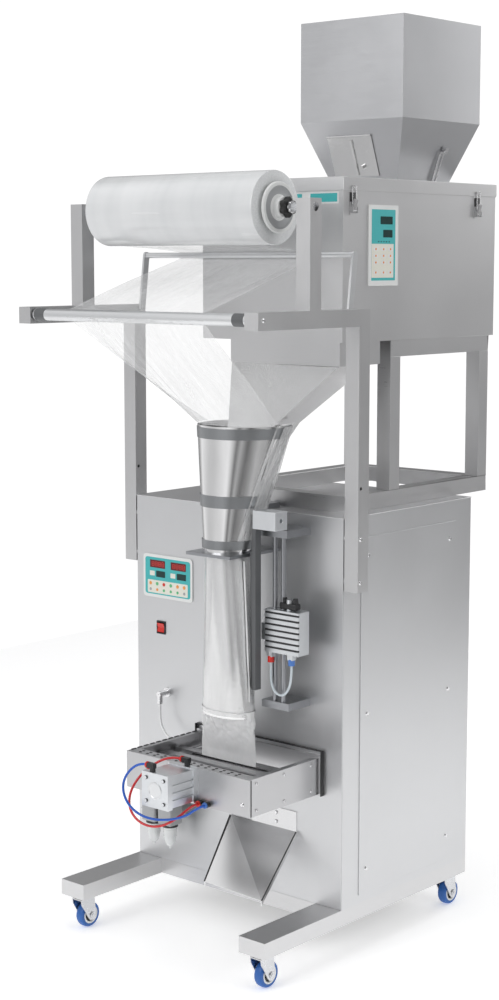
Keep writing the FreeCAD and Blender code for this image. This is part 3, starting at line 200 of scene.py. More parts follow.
# %% Flat outlines and free surfaces
def rounded_outline(width, height, radius, steps=5):
    """The points round a rectangle with rounded corners, centred on the origin."""
    points = []
    for quarter, (x, y) in enumerate(((1, 1), (-1, 1), (-1, -1), (1, -1))):
        corner = Vector((x * (width / 2 - radius), y * (height / 2 - radius)))
        for step in range(steps + 1):
            angle = math.radians(90 * quarter + 90 * step / steps)
            points.append(corner + radius * Vector((math.cos(angle), math.sin(angle))))
    return points


def add_plate(mesh, outline, thickness, frame_of, finish=0, side_finish=None):
    """Add a flat outline with thickness. frame_of takes (x, y, z) on the plate to a place."""
    low = [mesh.verts.new(frame_of(point[0], point[1], 0)) for point in outline]
    high = [mesh.verts.new(frame_of(point[0], point[1], thickness)) for point in outline]
    mesh.faces.new(high).material_index = finish
    mesh.faces.new(low[::-1]).material_index = finish
    count = len(outline)
    for index in range(count):
        after = (index + 1) % count
        face = mesh.faces.new((low[index], low[after], high[after], high[index]))
        face.material_index = finish if side_finish is None else side_finish


def add_skin(mesh, place_of, columns, rows, thickness, finish=0, closed=False):
    """Add a thin closed sheet whose middle surface is place_of(u, v), with u and v from 0 to 1."""
    def point(u, v):
        return Vector(place_of(u, v))

    tiny = 1e-3
    layers = ([], [])
    for row in range(rows + 1):
        for layer in layers:
            layer.append([])
        for column in range(columns + (0 if closed else 1)):
            u, v = column / columns, row / rows
            here = point(u, v)
            ahead, behind = (u + tiny, u - tiny) if closed else (min(u + tiny, 1), max(u - tiny, 0))
            along = point(ahead, v) - point(behind, v)
            across = point(u, min(v + tiny, 1)) - point(u, max(v - tiny, 0))
            normal = along.cross(across).normalized() * thickness / 2
            layers[0][-1].append(mesh.verts.new(here + normal))
            layers[1][-1].append(mesh.verts.new(here - normal))
    span = columns if closed else columns + 1
    for layer, flip in zip(layers, (False, True)):
        for row in range(rows):
            for column in range(columns):
                after = (column + 1) % span
                corners = (layer[row][column], layer[row][after],
                           layer[row + 1][after], layer[row + 1][column])
                mesh.faces.new(corners[::-1] if flip else corners).material_index = finish
    top, under = layers
    for row in (0, rows):
        for column in range(columns):
            after = (column + 1) % span
            edge = (top[row][column], top[row][after], under[row][after], under[row][column])
            mesh.faces.new(edge).material_index = finish
    if not closed:
        for column in (0, columns):
            for row in range(rows):
                mesh.faces.new((top[row][column], top[row + 1][column],
                                under[row + 1][column], under[row][column])).material_index = finish


# %% [markdown]
# ## Shader maths
# A finish is a small network of nodes. Wired by hand it hides its own formula, so a socket is
# wrapped in a class that ordinary arithmetic works on: `1 - mask * 0.4` then builds its own Math
# nodes. Every other node comes from one method, `node`, that takes its type, settings and inputs.

# %% A socket that arithmetic works on
class Amount:
    """A number that varies over a surface."""

    def __init__(self, finish, socket):
        self.finish = finish
        self.socket = socket

    def maths(self, operation, first, second=None):
        inputs = {0: first} if second is None else {0: first, 1: second}
        return self.finish.node("ShaderNodeMath", {"operation": operation}, inputs)

    def __add__(self, other):
        return self.maths("ADD", self, other)

    __radd__ = __add__

    def __sub__(self, other):
        return self.maths("SUBTRACT", self, other)

    def __rsub__(self, other):
        return self.maths("SUBTRACT", other, self)

    def __mul__(self, other):
        return self.maths("MULTIPLY", self, other)

    __rmul__ = __mul__

    def __gt__(self, other):
        return self.maths("GREATER_THAN", self, other)

    def size(self):
        return self.maths("ABSOLUTE", self)


# %% A finish and its nodes
class Finish:
    """A material made of one Principled shader, whose varying inputs are given by formulas."""

    def __init__(self, name, **constants):
        self.material = bpy.data.materials.new(name)
        self.material.use_nodes = True
        self.tree = self.material.node_tree
        self.shader = self.tree.nodes["Principled BSDF"]
        for socket, value in constants.items():
            self.shader.inputs[socket.replace("_", " ")].default_value = value

    def node(self, kind, settings=None, inputs=None, output=0):
        made = self.tree.nodes.new(kind)
        for key, value in (settings or {}).items():
            if key == "stops":
                while len(made.color_ramp.elements) < len(value):
                    made.color_ramp.elements.new(0.5)
                for element, (position, shade) in zip(made.color_ramp.elements, value):
                    element.position = position
                    element.color = (*shade, 1)
            else:
                setattr(made, key, value)
        for key, value in (inputs or {}).items():
            if isinstance(value, Amount):
                self.tree.links.new(value.socket, made.inputs[key])
            else:
                made.inputs[key].default_value = value
        return Amount(self, made.outputs[output])

    def place(self, stretch=(1, 1, 1)):
        """The place on the piece, in metres, with each axis stretched."""
        spot = self.node("ShaderNodeTexCoord", output="Object")
        return self.node("ShaderNodeVectorMath", {"operation": "MULTIPLY"}, {0: spot, 1: stretch})

    def noise(self, scale, stretch=(1, 1, 1), detail=3.0, roughness=0.5):
        inputs = {"Vector": self.place(stretch), "Scale": scale, "Detail": detail,
                  "Roughness": roughness}
        return self.node("ShaderNodeTexNoise", None, inputs)

    def axis(self, name):
        return self.node("ShaderNodeSeparateXYZ", None, {0: self.place()}, name)

    def blend(self, share, one, two):
        """A colour between two, by a share from 0 to 1."""
        inputs = {"Factor": share, 6: (*one, 1) if isinstance(one, tuple) else one,
                  7: (*two, 1) if isinstance(two, tuple) else two}
        return self.node("ShaderNodeMix", {"data_type": "RGBA"}, inputs, 2)

    def drive(self, socket, amount):
        self.tree.links.new(amount.socket, self.shader.inputs[socket])

    def bump(self, height, strength, distance=0.001):
        inputs = {"Height": height, "Strength": strength, "Distance": distance}
        made = self.node("ShaderNodeBump", None, inputs)
        self.drive("Normal", made)


print("shader tools ready")

# %% [markdown]
# ## Metal finishes
# Most of the machine is stainless sheet with a brushed grain. The grain is noise squeezed hard along
# one axis, so it reads as fine lines, and it moves only the roughness and a very small bump. A
# second, large noise adds the cloudy handling marks that every stainless cover has. The grain runs
# along the length of a tube, and upright on the cabinet's sheets.

# %% Brushed steel
GRAIN = {"x": (1, 60, 60), "y": (60, 1, 60), "z": (60, 60, 1)}


def brushed(name, shade, rough, along, clouds=1.0, grain=0.09):
    """Brushed sheet or tube, with its grain along one axis."""
    finish = Finish(name, Metallic=1.0)
    lines = finish.noise(12.0, GRAIN[along], detail=2.0)
    cloud = finish.noise(3.2, detail=4.0, roughness=0.6)
    speck = finish.noise(38.0, detail=2.0)
    tone = 0.9 + lines * 0.12 + (cloud - 0.5) * 0.16 * clouds
    dark = tuple(0.72 * part for part in shade)
    light = tuple(min(1.12 * part, 1.0) for part in shade)
    finish.drive("Base Color", finish.blend(tone - 0.42, dark, light))
    smears = (cloud - 0.5) * 0.16 * clouds
    finish.drive("Roughness", rough + (lines - 0.5) * grain * 2 + smears + (speck - 0.5) * 0.05)
    finish.bump(lines, 0.05, 0.0004)
    return finish.material


tube_steel_x = brushed("tube_steel_x", (0.74, 0.74, 0.745), 0.34, "x")
tube_steel_y = brushed("tube_steel_y", (0.72, 0.72, 0.725), 0.34, "y")
tube_steel_z = brushed("tube_steel_z", (0.7, 0.7, 0.705), 0.34, "z")
panel_steel = brushed("panel_steel", (0.72, 0.725, 0.735), 0.4, "z")
top_steel = brushed("top_steel", (0.72, 0.72, 0.73), 0.36, "x")
weigher_steel = brushed("weigher_steel", (0.75, 0.75, 0.755), 0.36, "x")
# The hopper, weigh bucket and bucket door share this copy of the stainless with a darker base colour:
# painted shade.
hopper_steel = brushed("hopper_steel", (0.62, 0.625, 0.64), 0.36, "x", clouds=1.3)
chute_steel = brushed("chute_steel", (0.8, 0.8, 0.8), 0.24, "y", clouds=0.7)
jaw_steel = brushed("jaw_steel", (0.58, 0.58, 0.59), 0.34, "x")
print("brushed finishes ready")

# %% [markdown]
# Turned and plated pieces are brighter and smoother. Their only marks are fine scratches and a
# little dulling, so one helper takes a shade and a roughness. The forming collar is polished like a
# mirror, but sheet that was rolled by hand is never quite true, so a long, low bump bends what it
# reflects into upright bands.

# %% Plated, cast and polished metal
def plated(name, shade, rough, marks=0.1):
    """Smooth metal with a few fine marks."""
    finish = Finish(name, Metallic=1.0)
    marks_here = finish.noise(160.0, (1, 1, 2.5), detail=3.0)
    dull = finish.noise(22.0, detail=3.0)
    finish.drive("Base Color", finish.blend(dull * 0.7, shade, tuple(0.82 * part for part in shade)))
    finish.drive("Roughness", rough + (dull - 0.4) * marks + (marks_here - 0.5) * marks)
    finish.bump(marks_here, 0.03, 0.0003)
    return finish.material


bright_plate = plated("bright_plate", (0.84, 0.84, 0.85), 0.16)
zinc_plate = plated("zinc_plate", (0.72, 0.73, 0.75), 0.26, 0.16)
satin_aluminium = plated("satin_aluminium", (0.80, 0.81, 0.82), 0.34, 0.12)
anodised = plated("anodised", (0.78, 0.80, 0.82), 0.38, 0.08)
# This plate metal is darkened to mid grey as painted shade, so the tube brackets and seal mount stay dim
# under the strong light.
dim_plate_shaded = plated("dim_plate_shaded", (0.4, 0.41, 0.43), 0.3, 0.12)

polished = Finish("polished_sheet", Metallic=1.0)
ripple = polished.noise(9.0, (1, 1, 0.22), detail=2.0)
haze = polished.noise(30.0, (1, 1, 0.3), detail=3.0)
polished.drive("Base Color", polished.blend(haze, (0.78, 0.78, 0.78), (0.93, 0.93, 0.93)))
polished.drive("Roughness", 0.07 + haze * 0.09)
polished.bump(ripple, 0.35, 0.004)
polished_sheet = polished.material

# The chute's base colour is split along its diagonal as painted light: past the line it is painted grey
# as painted shade, and on the other side near white as a painted highlight, as if the two sides of a
# fold caught the light differently.
CHUTE_ALONG, CHUTE_UP, CHUTE_PAINT_LINE = 0.546, 0.838, 0.2421
chute_facet_paint = Finish("chute_painted_facets", Metallic=1.0)
chute_lines = chute_facet_paint.noise(12.0, GRAIN["y"], detail=2.0)
chute_cloud = chute_facet_paint.noise(5.0, detail=3.0)
past_painted_line = chute_facet_paint.axis("X") * CHUTE_ALONG + chute_facet_paint.axis("Z") * CHUTE_UP > CHUTE_PAINT_LINE
painted_facet_shade = past_painted_line * 0.5 + chute_cloud * 0.2
chute_facet_paint.drive("Base Color", chute_facet_paint.blend(painted_facet_shade, (1.0, 1.0, 1.0), (0.5, 0.5, 0.51)))
chute_facet_paint.drive("Roughness", 0.2 + chute_lines * 0.1)
chute_facet_paint.bump(chute_lines, 0.05, 0.0004)
chute_painted_facets = chute_facet_paint.material
print("plated finishes ready")

# %% [markdown]
# ## Plastics, rubber and paint
# Moulded plastic has a fine pebble and small changes of gloss where hands have worn it. A single
# helper gives both. Rubber and painted covers use the same helper with other numbers.

# %% Moulded, painted and rubber finishes
def moulded(name, shade, rough, pebble=0.03, **constants):
    """Plastic, rubber or paint with a fine surface and a little wear."""
    finish = Finish(name, **constants)
    fine = finish.noise(420.0, detail=2.0)
    worn = finish.noise(26.0, detail=4.0)
    worn_shade = tuple(min(part * 0.8 + 0.012, 1) for part in shade)
    finish.drive("Base Color", finish.blend(worn * 0.5, shade, worn_shade))
    finish.drive("Roughness", rough + (worn - 0.5) * 0.14 + (fine - 0.5) * 0.06)
    finish.bump(fine, pebble, 0.0003)
    return finish.material


black_plastic = moulded("black_plastic", (0.02, 0.02, 0.022), 0.4, 0.08)
black_paint = moulded("black_paint", (0.028, 0.028, 0.03), 0.45, 0.12)
grey_paint = moulded("grey_paint", (0.55, 0.56, 0.56), 0.5, 0.1)
dark_grey = moulded("dark_grey", (0.12, 0.125, 0.13), 0.45, 0.08)
mid_grey = moulded("mid_grey", (0.42, 0.43, 0.44), 0.4, 0.08)
strap_grey = moulded("strap_grey", (0.3, 0.31, 0.32), 0.32, 0.05, Metallic=0.7)
white_plastic = moulded("white_plastic", (0.86, 0.87, 0.86), 0.3, 0.03)
cream_print = moulded("cream_print", (0.86, 0.85, 0.76), 0.42, 0.04)
teal_print = moulded("teal_print", (0.06, 0.5, 0.51), 0.4, 0.04)
orange_key = moulded("orange_key", (0.9, 0.36, 0.08), 0.4)
green_key = moulded("green_key", (0.14, 0.55, 0.25), 0.4)
red_gloss = moulded("red_gloss", (0.72, 0.03, 0.02), 0.22, 0.02)
blue_key = moulded("blue_key", (0.08, 0.22, 0.62), 0.4)
tyre_blue = moulded("tyre_blue", (0.02, 0.13, 0.46), 0.38, 0.06)
bowl_white = moulded("bowl_white", (0.84, 0.86, 0.86), 0.18, 0.02)
knob_black = moulded("knob_black", (0.018, 0.018, 0.018), 0.5, 0.2)


def tinted_window(name, dark, light):
    """A smoked display window."""
    finish = Finish(name, Roughness=0.12)
    finish.drive("Base Color", finish.blend(finish.noise(60.0), dark, light))
    return finish.material


red_window = tinted_window("red_window", (0.1, 0.008, 0.01), (0.16, 0.012, 0.014))
display_window = tinted_window("display_window", (0.004, 0.03, 0.028), (0.008, 0.05, 0.045))
lit = Finish("lit_segment", Roughness=0.4, Emission_Strength=0.5)
glow = lit.noise(300.0)
lit.drive("Base Color", lit.blend(glow, (0.4, 0.02, 0.02), (0.55, 0.04, 0.03)))
lit.drive("Emission Color", lit.blend(glow, (0.8, 0.03, 0.02), (0.9, 0.08, 0.04)))
lit_segment = lit.material
print("plastic finishes ready")

# %% [markdown]
# ## Film
# The packing film is a clear plastic that looks milky because light scatters on its many faint
# creases. Real clear film in layers would need many bounces of light, so it is shown as a white
# gloss that lets most of what is behind it through: its alpha is low on the flat web, higher where
# it is gathered, and streaks of noise along its travel carry the folds.

# %% Film finishes
def film_finish(name, clear, streaks, crease, stretch=(9, 0.7, 0.7), shade=(0.86, 0.87, 0.88)):
    """Thin clear film. clear is its alpha, streaks how much folds change it."""
    finish = Finish(name, Roughness=0.14, Coat_Weight=0.4, IOR=1.46)
    folds = finish.noise(6.0, stretch, detail=4.0, roughness=0.6)
    fine = finish.noise(26.0, stretch, detail=3.0)
    finish.drive("Base Color", finish.blend(fine, shade, (0.98, 0.98, 0.98)))
    finish.drive("Alpha", clear + (folds - 0.5) * streaks + (fine - 0.5) * streaks * 0.3)
    finish.bump(folds * 0.85 + fine * 0.15, crease, 0.006)
    return finish.material


web_film = film_finish("web_film", 0.25, 0.32, 0.2, (2.2, 0.3, 0.3))
collar_film = film_finish("collar_film", 0.4, 0.6, 0.6, (4, 2, 0.7))
bag_clear = film_finish("bag_clear", 0.86, 0.4, 0.25, (1.6, 1.6, 1.1), (0.93, 0.94, 0.95))
wound = Finish("wound_film", Roughness=0.2, Coat_Weight=0.6)
layers = wound.noise(3.0, (1, 14, 14), detail=4.0)
bands = wound.noise(7.0, (2.2, 0.2, 0.2), detail=2.0)
wound_look = wound.blend(bands * 0.7 + layers * 0.3, (0.62, 0.64, 0.65), (0.9, 0.905, 0.91))
wound.drive("Base Color", wound_look)
wound.drive("Roughness", 0.14 + layers * 0.2)
wound.bump(layers, 0.12, 0.002)
wound_film = wound.material
edge = Finish("roll_edge", Roughness=0.45)
rings = edge.noise(10.0, (30, 30, 30), detail=2.0)
edge.drive("Base Color", edge.blend(rings, (0.62, 0.64, 0.65), (0.88, 0.89, 0.89)))
roll_edge = edge.material
print("film finishes ready")

# %% [markdown]
# ## Hose plastic
# Air hose is smooth tube in a clear colour. A slight change of tone along it keeps it from
# looking like paint.

# %% Hose finishes
hose_finishes = {"hose_red": moulded("hose_red_plastic", (0.7, 0.03, 0.035), 0.22, 0.01),
                 "hose_blue": moulded("hose_blue_plastic", (0.03, 0.13, 0.6), 0.22, 0.01),
                 "hose_white": moulded("hose_white_plastic", (0.9, 0.91, 0.91), 0.3, 0.01),
                 "hose_clear": moulded("hose_clear_plastic", (0.66, 0.73, 0.77), 0.2, 0.01)}

# %% [markdown]
# ## Dressing the parts that keep their shape
# A part whose shape is already right only needs its finish. Folded and cut sheet has slightly eased
# edges that catch a line of light, so the big covers and tubes also get a small bevel, made by
# modifiers on top of the part's own mesh.

# %% Finishes for whole parts
part_finishes = {
    "base_frame": tube_steel_y, "front_panel": panel_steel, "cabinet_wrap": panel_steel,
    "top_plate": top_steel, "service_panel": panel_steel, "cover_screws": bright_plate,
    "control_gear": grey_paint, "stand_frame": tube_steel_x, "weigher_case": weigher_steel,
    "weigher_lid": weigher_steel, "hopper": hopper_steel, "hopper_flap": chute_steel,
    "gate_lever": bright_plate, "feeder_pan": zinc_plate, "feeder_drive": grey_paint,
    "load_cell": satin_aluminium, "weigh_bucket": hopper_steel, "bucket_door": hopper_steel,
    "outlet_funnel": chute_steel, "forming_tube": polished_sheet, "tube_brackets": dim_plate_shaded,
    "film_brackets": tube_steel_z, "roll_cones": white_plastic, "roll_shaft": zinc_plate,
    "front_roller": satin_aluminium, "dancer_frame": satin_aluminium, "seal_mount": dim_plate_shaded,
    "seal_cylinder": anodised, "seal_bar": dark_grey, "pull_carriage": anodised,
    "jaw_housing": jaw_steel, "front_jaw": jaw_steel, "cutter_blade": bright_plate,
    "jaw_cylinder": anodised, "chute": chute_painted_facets, "air_fittings": black_plastic,
    "latch_lever_front": bright_plate, "latch_lever_rear": bright_plate,
    "forming_collar": polished_sheet, "front_controls": teal_print, "switch_rocker": red_gloss,
    "weigher_keypad": teal_print, "air_filter": mid_grey, "regulator_knob": knob_black,
}
for spot in ("front_left", "front_right", "rear_left", "rear_right"):
    part_finishes[f"castor_fork_{spot}"] = zinc_plate
for name, finish in part_finishes.items():
    data = nodes[name].data
    data.materials.clear()
    data.materials.append(finish)

# The elbow on the cabinet is plated; the fittings on the jaw box are black.
CABINET_SIDE = -0.2
fittings = nodes["air_fittings"].data
fittings.materials.append(bright_plate)
for polygon in fittings.polygons:
    polygon.material_index = int(polygon.center.y > CABINET_SIDE)

EASED = ("front_panel", "top_plate", "service_panel", "weigher_lid", "stand_frame", "film_brackets",
         "jaw_cylinder", "pull_carriage", "chute", "tube_brackets", "seal_cylinder")
for name in EASED:
    weld = nodes[name].modifiers.new("weld", "WELD")
    weld.merge_threshold = 0.02 * MM
    ease = nodes[name].modifiers.new("eased edges", "BEVEL")
    ease.width = 0.9 * MM
    ease.segments = 2
    ease.limit_method = "ANGLE"
    ease.angle_limit = math.radians(40)
print("parts dressed:", len(part_finishes), "with eased edges:", len(EASED))

# %% [markdown]
# ## Air hoses
# A hose is pushed straight into its fitting and bends from there under its own stiffness. Each one
# is a smooth spline through the same route that its solid follows, so it leaves and enters its
# fittings in line. The clear hose rides with the film puller that it feeds.

# %% Hoses
FRONT = -159.7
HOSE_DIAMETER = 6 * MM
RED_ROUTE = [(74, -273, 516), (42, -273, 516), (6, -290, 501), (-20, -322, 470), (-28, -350, 432),
             (-10, -370, 398), (30, -376, 374), (72, -362, 368), (108, -338, 387), (127, -302, 418),
             (127, -279, 418)]
BLUE_ROUTE = [(46, -362, 516), (20, -362, 516), (-6, -376, 494), (-16, -386, 462), (-4, -390, 430),
              (22, -387, 405), (56, -376, 391), (92, -353, 388), (130, -328, 398), (149, -302, 418),
              (149, -279, 418)]
WHITE_ROUTE = [(-233, -30, 556), (-233, -30, 530), (-227, -34, 504), (-208, -38, 482), (-184, -42, 472),
               (-159, -45, 470), (-135, -45, 470)]
CLEAR_ROUTE = [(189, -85.2, 738), (189, -85.2, 712), (193, -89, 686), (208, -92, 664), (234, -92, 660),
               (250, -89, 682), (253, -85.2, 712), (253, -85.2, 738)]
routes = {"hose_red": (RED_ROUTE, 0.422, "machine"), "hose_blue": (BLUE_ROUTE, 0.350, "machine"),
          "hose_white": (WHITE_ROUTE, 0.157, "machine"), "hose_clear": (CLEAR_ROUTE, 0.185, "carriage")}
for name, (route, length, body) in routes.items():
    line = bpy.data.curves.new(f"{name}_tube", "CURVE")
    line.dimensions = "3D"
    spline = line.splines.new("NURBS")
    spline.points.add(len(route) - 1)
    for knot, (x, y, z) in zip(spline.points, route):
        knot.co = (x * MM, (y + FRONT) * MM, z * MM, 1)
    spline.order_u = 3
    spline.use_endpoint_u = True
    spline.resolution_u = 10
    line.bevel_depth = HOSE_DIAMETER / 2
    line.bevel_resolution = 5
    line.use_fill_caps = True
    line.materials.append(hose_finishes[name])
    hose = bpy.data.objects.new(f"{name}_tube", line)
    bpy.context.scene.collection.objects.link(hose)
    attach(hose, body)
    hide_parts(name)
    x, y, z = route[0]
    x * MM
    (y + FRONT) * MM
    z * MM
print("hoses laid:", len(routes))

# %% [markdown]
# ## Film roll
# A reel of film is thousands of turns on a card core. Seen from outside it is a glossy drum whose
# ends show fine rings, so it is one turned piece: the drum takes the wound film, its two faces the
# ring pattern. The two end faces dip a little towards the core, as a slit reel does.

# %% Reel of film
roll_low, roll_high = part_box("film_roll")
roll_axis = middle("film_roll")
roll_radius = (roll_high.z - roll_low.z) / 2
CORE_OUT, CORE_IN, CORE_PROUD = 38 * MM, 35 * MM, 6 * MM
half_reel = (roll_high.x - roll_low.x) / 2 - CORE_PROUD
reel = bmesh.new()
profile = [(CORE_OUT, -half_reel + 1.5 * MM), (60 * MM, -half_reel + 0.6 * MM),
           (roll_radius - 2 * MM, -half_reel),
           (roll_radius - 0.4 * MM, -half_reel + 0.8 * MM), (roll_radius, -half_reel + 2.6 * MM),
           (roll_radius, half_reel - 2.6 * MM), (roll_radius - 0.4 * MM, half_reel - 0.8 * MM),
           (roll_radius - 2 * MM, half_reel), (60 * MM, half_reel - 0.6 * MM),
           (CORE_OUT, half_reel - 1.5 * MM)]
add_turned(reel, profile, roll_axis, (1, 0, 0), 96, [1, 1, 0, 0, 0, 0, 0, 1, 1, 1])
core_half = half_reel + CORE_PROUD
add_turned(reel, [(CORE_IN, -core_half), (CORE_OUT, -core_half),
                  (CORE_OUT, core_half), (CORE_IN, core_half)],
           roll_axis, (1, 0, 0), 64, 2)
reel_finishes = [wound_film, roll_edge, cream_print]
film_reel = place("film_reel", reel, "film_roll_body", reel_finishes, "film_clear")
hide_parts("film_roll")
print("reel radius", round(roll_radius, 4))

# %% [markdown]
# The roll is held by a shaft with a star knob at each end, which is tightened by hand. The knob has
# six lobes, so its outline is a circle whose radius swells six times round.

# %% Shaft and star knobs
def add_star(mesh, centre, axis, radius, depth, lobes=6, finish=0):
    """Add a lobed hand knob with eased edges."""
    steps = lobes * 12
    spin = Matrix.Translation(Vector(centre)) @ facing(axis)
    layers = [(0.86, 0.0), (1.0, 0.16), (1.0, 0.84), (0.86, 1.0)]
    rings_made = []
    for share, height in layers:
        ring = []
        for step in range(steps):
            angle = math.tau * step / steps
            reach = radius * share * (1 + 0.13 * math.cos(lobes * angle))
            here = Vector((reach * math.cos(angle), reach * math.sin(angle), height * depth))
            ring.append(mesh.verts.new(spin @ here))
        rings_made.append(ring)
    for one, two in zip(rings_made, rings_made[1:]):
        for step in range(steps):
            after = (step + 1) % steps
            mesh.faces.new((one[step], one[after], two[after], two[step])).material_index = finish
    mesh.faces.new(rings_made[0][::-1]).material_index = finish
    mesh.faces.new(rings_made[-1]).material_index = finish


shaft_low, shaft_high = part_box("roll_shaft")
SHAFT_RADIUS = 10 * MM
shaft = bmesh.new()
add_bar(shaft, (shaft_low.x, roll_axis.y, roll_axis.z), (shaft_high.x, roll_axis.y, roll_axis.z),
        SHAFT_RADIUS, 32)
knob_start = core_half + 22 * MM
for way_out in (-1, 1):
    centre = Vector((way_out * knob_start, roll_axis.y, roll_axis.z))
    add_star(shaft, centre, (way_out, 0, 0), 21 * MM, 17 * MM, finish=1)
    stub_start, stub_end = (centre + Vector((way_out * part * MM, 0, 0)) for part in (17, 24))
    add_bar(shaft, stub_start, stub_end, 14 * MM, 32, 2)
shaft_finishes = [zinc_plate, knob_black, bright_plate]
roll_bar = place("roll_bar", shaft, "film_roll_body", shaft_finishes, "shaft_steel")
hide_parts("roll_shaft")

flanges = bmesh.new()
FLANGE = 58 * MM
for way_out in (-1, 1):
    profile = [(SHAFT_RADIUS + 1 * MM, 0.2 * MM), (FLANGE - 2 * MM, 0.2 * MM), (FLANGE, 2 * MM),
               (FLANGE, 6 * MM), (FLANGE - 2 * MM, 8 * MM), (FLANGE - 9 * MM, 8 * MM),
               (FLANGE - 12 * MM, 5 * MM), (30 * MM, 5 * MM),
               (25 * MM, 8 * MM), (23 * MM, 21 * MM), (21 * MM, 22 * MM), (SHAFT_RADIUS + 1 * MM, 22 * MM)]
    add_turned(flanges, profile, (way_out * core_half, roll_axis.y, roll_axis.z), (way_out, 0, 0), 64,
               [0, 0, 0, 0, 0, 1, 1, 0, 0, 0, 0, 0])
flange_finishes = [white_plastic, mid_grey]
cone_flanges = place("cone_flanges", flanges, "film_roll_body", flange_finishes, "cone_plastic")
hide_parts("roll_cones")

# %% [markdown]
# ## Rollers
# The front roller is a satin tube with a dark sleeve near each end. The sleeves are separate rings
# pushed over the tube.

# %% Roller sleeves
roller_low, roller_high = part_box("front_roller")
roller_axis = middle("front_roller")
roller_radius = (roller_high.z - roller_low.z) / 2
sleeves = bmesh.new()
SLEEVE = 34 * MM
for start in (roller_low.x + 4 * MM, roller_high.x - 4 * MM - SLEEVE):
    profile = [(roller_radius, 0), (roller_radius + 0.8 * MM, 0.8 * MM),
               (roller_radius + 0.8 * MM, SLEEVE - 0.8 * MM),
               (roller_radius, SLEEVE)]
    add_turned(sleeves, profile, (start, roller_axis.y, roller_axis.z), (1, 0, 0), 40)
place("roller_sleeves", sleeves, "front_roller_body", dark_grey, "roller_aluminium")

# %% [markdown]
# ## Web of film
# The film leaves the bottom of the roll, goes round the dancer bar and comes forward to the front
# roller. The dancer swings, but the web is two fixed sheets, each curling round the dancer bar at one
# end, and neither moves with it. A straight web would look like glass, so its surface dips and rises a
# few millimetres along soft lengthwise folds.

# %% Upper web
FILM_HALF = 220 * MM
DANCER_PIVOT = Vector((0, -137.7 * MM, 1571 * MM))
LEAN = math.radians(7)
DANCER_ARM = 132 * MM
bar_axis = DANCER_PIVOT + DANCER_ARM * Vector((0, math.sin(LEAN), math.cos(LEAN)))
BAR_RADIUS = 7 * MM


def folds(x, along, depth, seed=0.0):
    """Soft lengthwise folds: how far the film stands off its flat place."""
    broad = noise.noise(Vector((x * 9 + seed, along * 1.6, seed)))
    fine = noise.noise(Vector((x * 34, along * 3.0 + seed, 4.0)))
    return depth * (broad + 0.35 * fine)


def web(name, start, end, curl, slack, slot_name="film_clear"):
    """A sheet between two (y, z) places, optionally curling round a bar at its end."""
    start, end = Vector(start), Vector(end)
    ahead = (end - start).normalized()
    up = Vector((-ahead.y, ahead.x))
    straight = (end - start).length
    turned_by = BAR_RADIUS + 0.9 * MM
    bend = abs(curl) * turned_by
    total = straight + bend

    def place_of(u, v):
        x = (2 * u - 1) * FILM_HALF
        run = v * total
        calm = math.sin(math.pi * min(run / straight, 1.0))
        if run <= straight:
            spot = start + ahead * run + up * folds(x, run, slack * calm)
        else:
            angle = (run - straight) / turned_by * math.copysign(1, curl)
            centre = end + up * turned_by * math.copysign(1, curl)
            back = (end - centre)
            spot = centre + Vector((back.x * math.cos(angle) - back.y * math.sin(angle),
                                    back.x * math.sin(angle) + back.y * math.cos(angle)))
        return (x, spot.x, spot.y)

    mesh = bmesh.new()
    add_skin(mesh, place_of, 60, 46, 0.3 * MM)
    piece = place(name, mesh, "machine", web_film, slot_name)
    return piece, total


roll_bottom = (roll_axis.y + 5 * MM, roll_axis.z - roll_radius - 1 * MM)
bar_top = (bar_axis.y - 0.5 * MM, bar_axis.z + BAR_RADIUS + 0.9 * MM)
bar_under = (bar_axis.y + 2 * MM, bar_axis.z - BAR_RADIUS - 1.2 * MM)
roller_top = (roller_axis.y - 5 * MM, roller_axis.z + roller_radius + 0.6 * MM)
QUARTER = math.pi / 2
for name, start, end, curl, slack in (("web_from_roll", roll_bottom, bar_top, -QUARTER, 5 * MM),
                                      ("web_to_roller", roller_top, bar_under, QUARTER, 7 * MM)):
    piece, length = web(name, start, end, curl, slack)
    bpy.context.view_layer.update()
    held = piece.matrix_world.copy()
    piece.parent = None
    piece.matrix_world = held
    del piece["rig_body"]
    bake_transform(piece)
    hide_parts("film_web_upper")
print("upper web length", round(length, 3))

# %% [markdown]
# Below the front roller the film runs back and down to the rim of the collar. Its top edge is
# straight and its bottom edge wraps the front half of the rim, so the sheet narrows and gathers
# into folds near the middle. A formula blends a straight line into that arc.

# %% Lower web
LINE_X = 75 * MM
RIM_CENTRE = Vector((LINE_X, -209.7 * MM, 1300 * MM))
RIM_RADIUS = 113.4 * MM


def lower_place(u, v):
    """A point on the web from the roller, at v = 0, to the collar's rim, at v = 1."""
    x = (2 * u - 1) * FILM_HALF
    around = math.pi / 2 + math.radians(86) * (2 * u - 1)
    top = Vector((x, roller_axis.y - roller_radius - 0.6 * MM, roller_axis.z - 3 * MM))
    rim = RIM_CENTRE + Vector((-RIM_RADIUS * math.cos(around), -RIM_RADIUS * math.sin(around), 3 * MM))
    share = v ** 1.15
    spot = top.lerp(rim, share)
    gather = math.sin(math.pi * v)
    spot.y += folds(u * 0.9, v * 0.5, 26 * MM * gather * (0.4 + v), 3.0)
    spot.y -= 10 * MM * gather
    return spot


lower = bmesh.new()
add_skin(lower, lower_place, 84, 40, 0.3 * MM)
lower_web = place("web_to_collar", lower, "machine", web_film, "film_clear")
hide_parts("film_web_lower")

# %% [markdown]
# ## Collar and forming tube
# The collar is a rolled cone of mirror sheet, open at the back, with three grey straps. Its right lip
# is covered by the edge of the film, which turns in there. The cone is one free surface with an angle
# and a height, and so are the straps, a little further out.

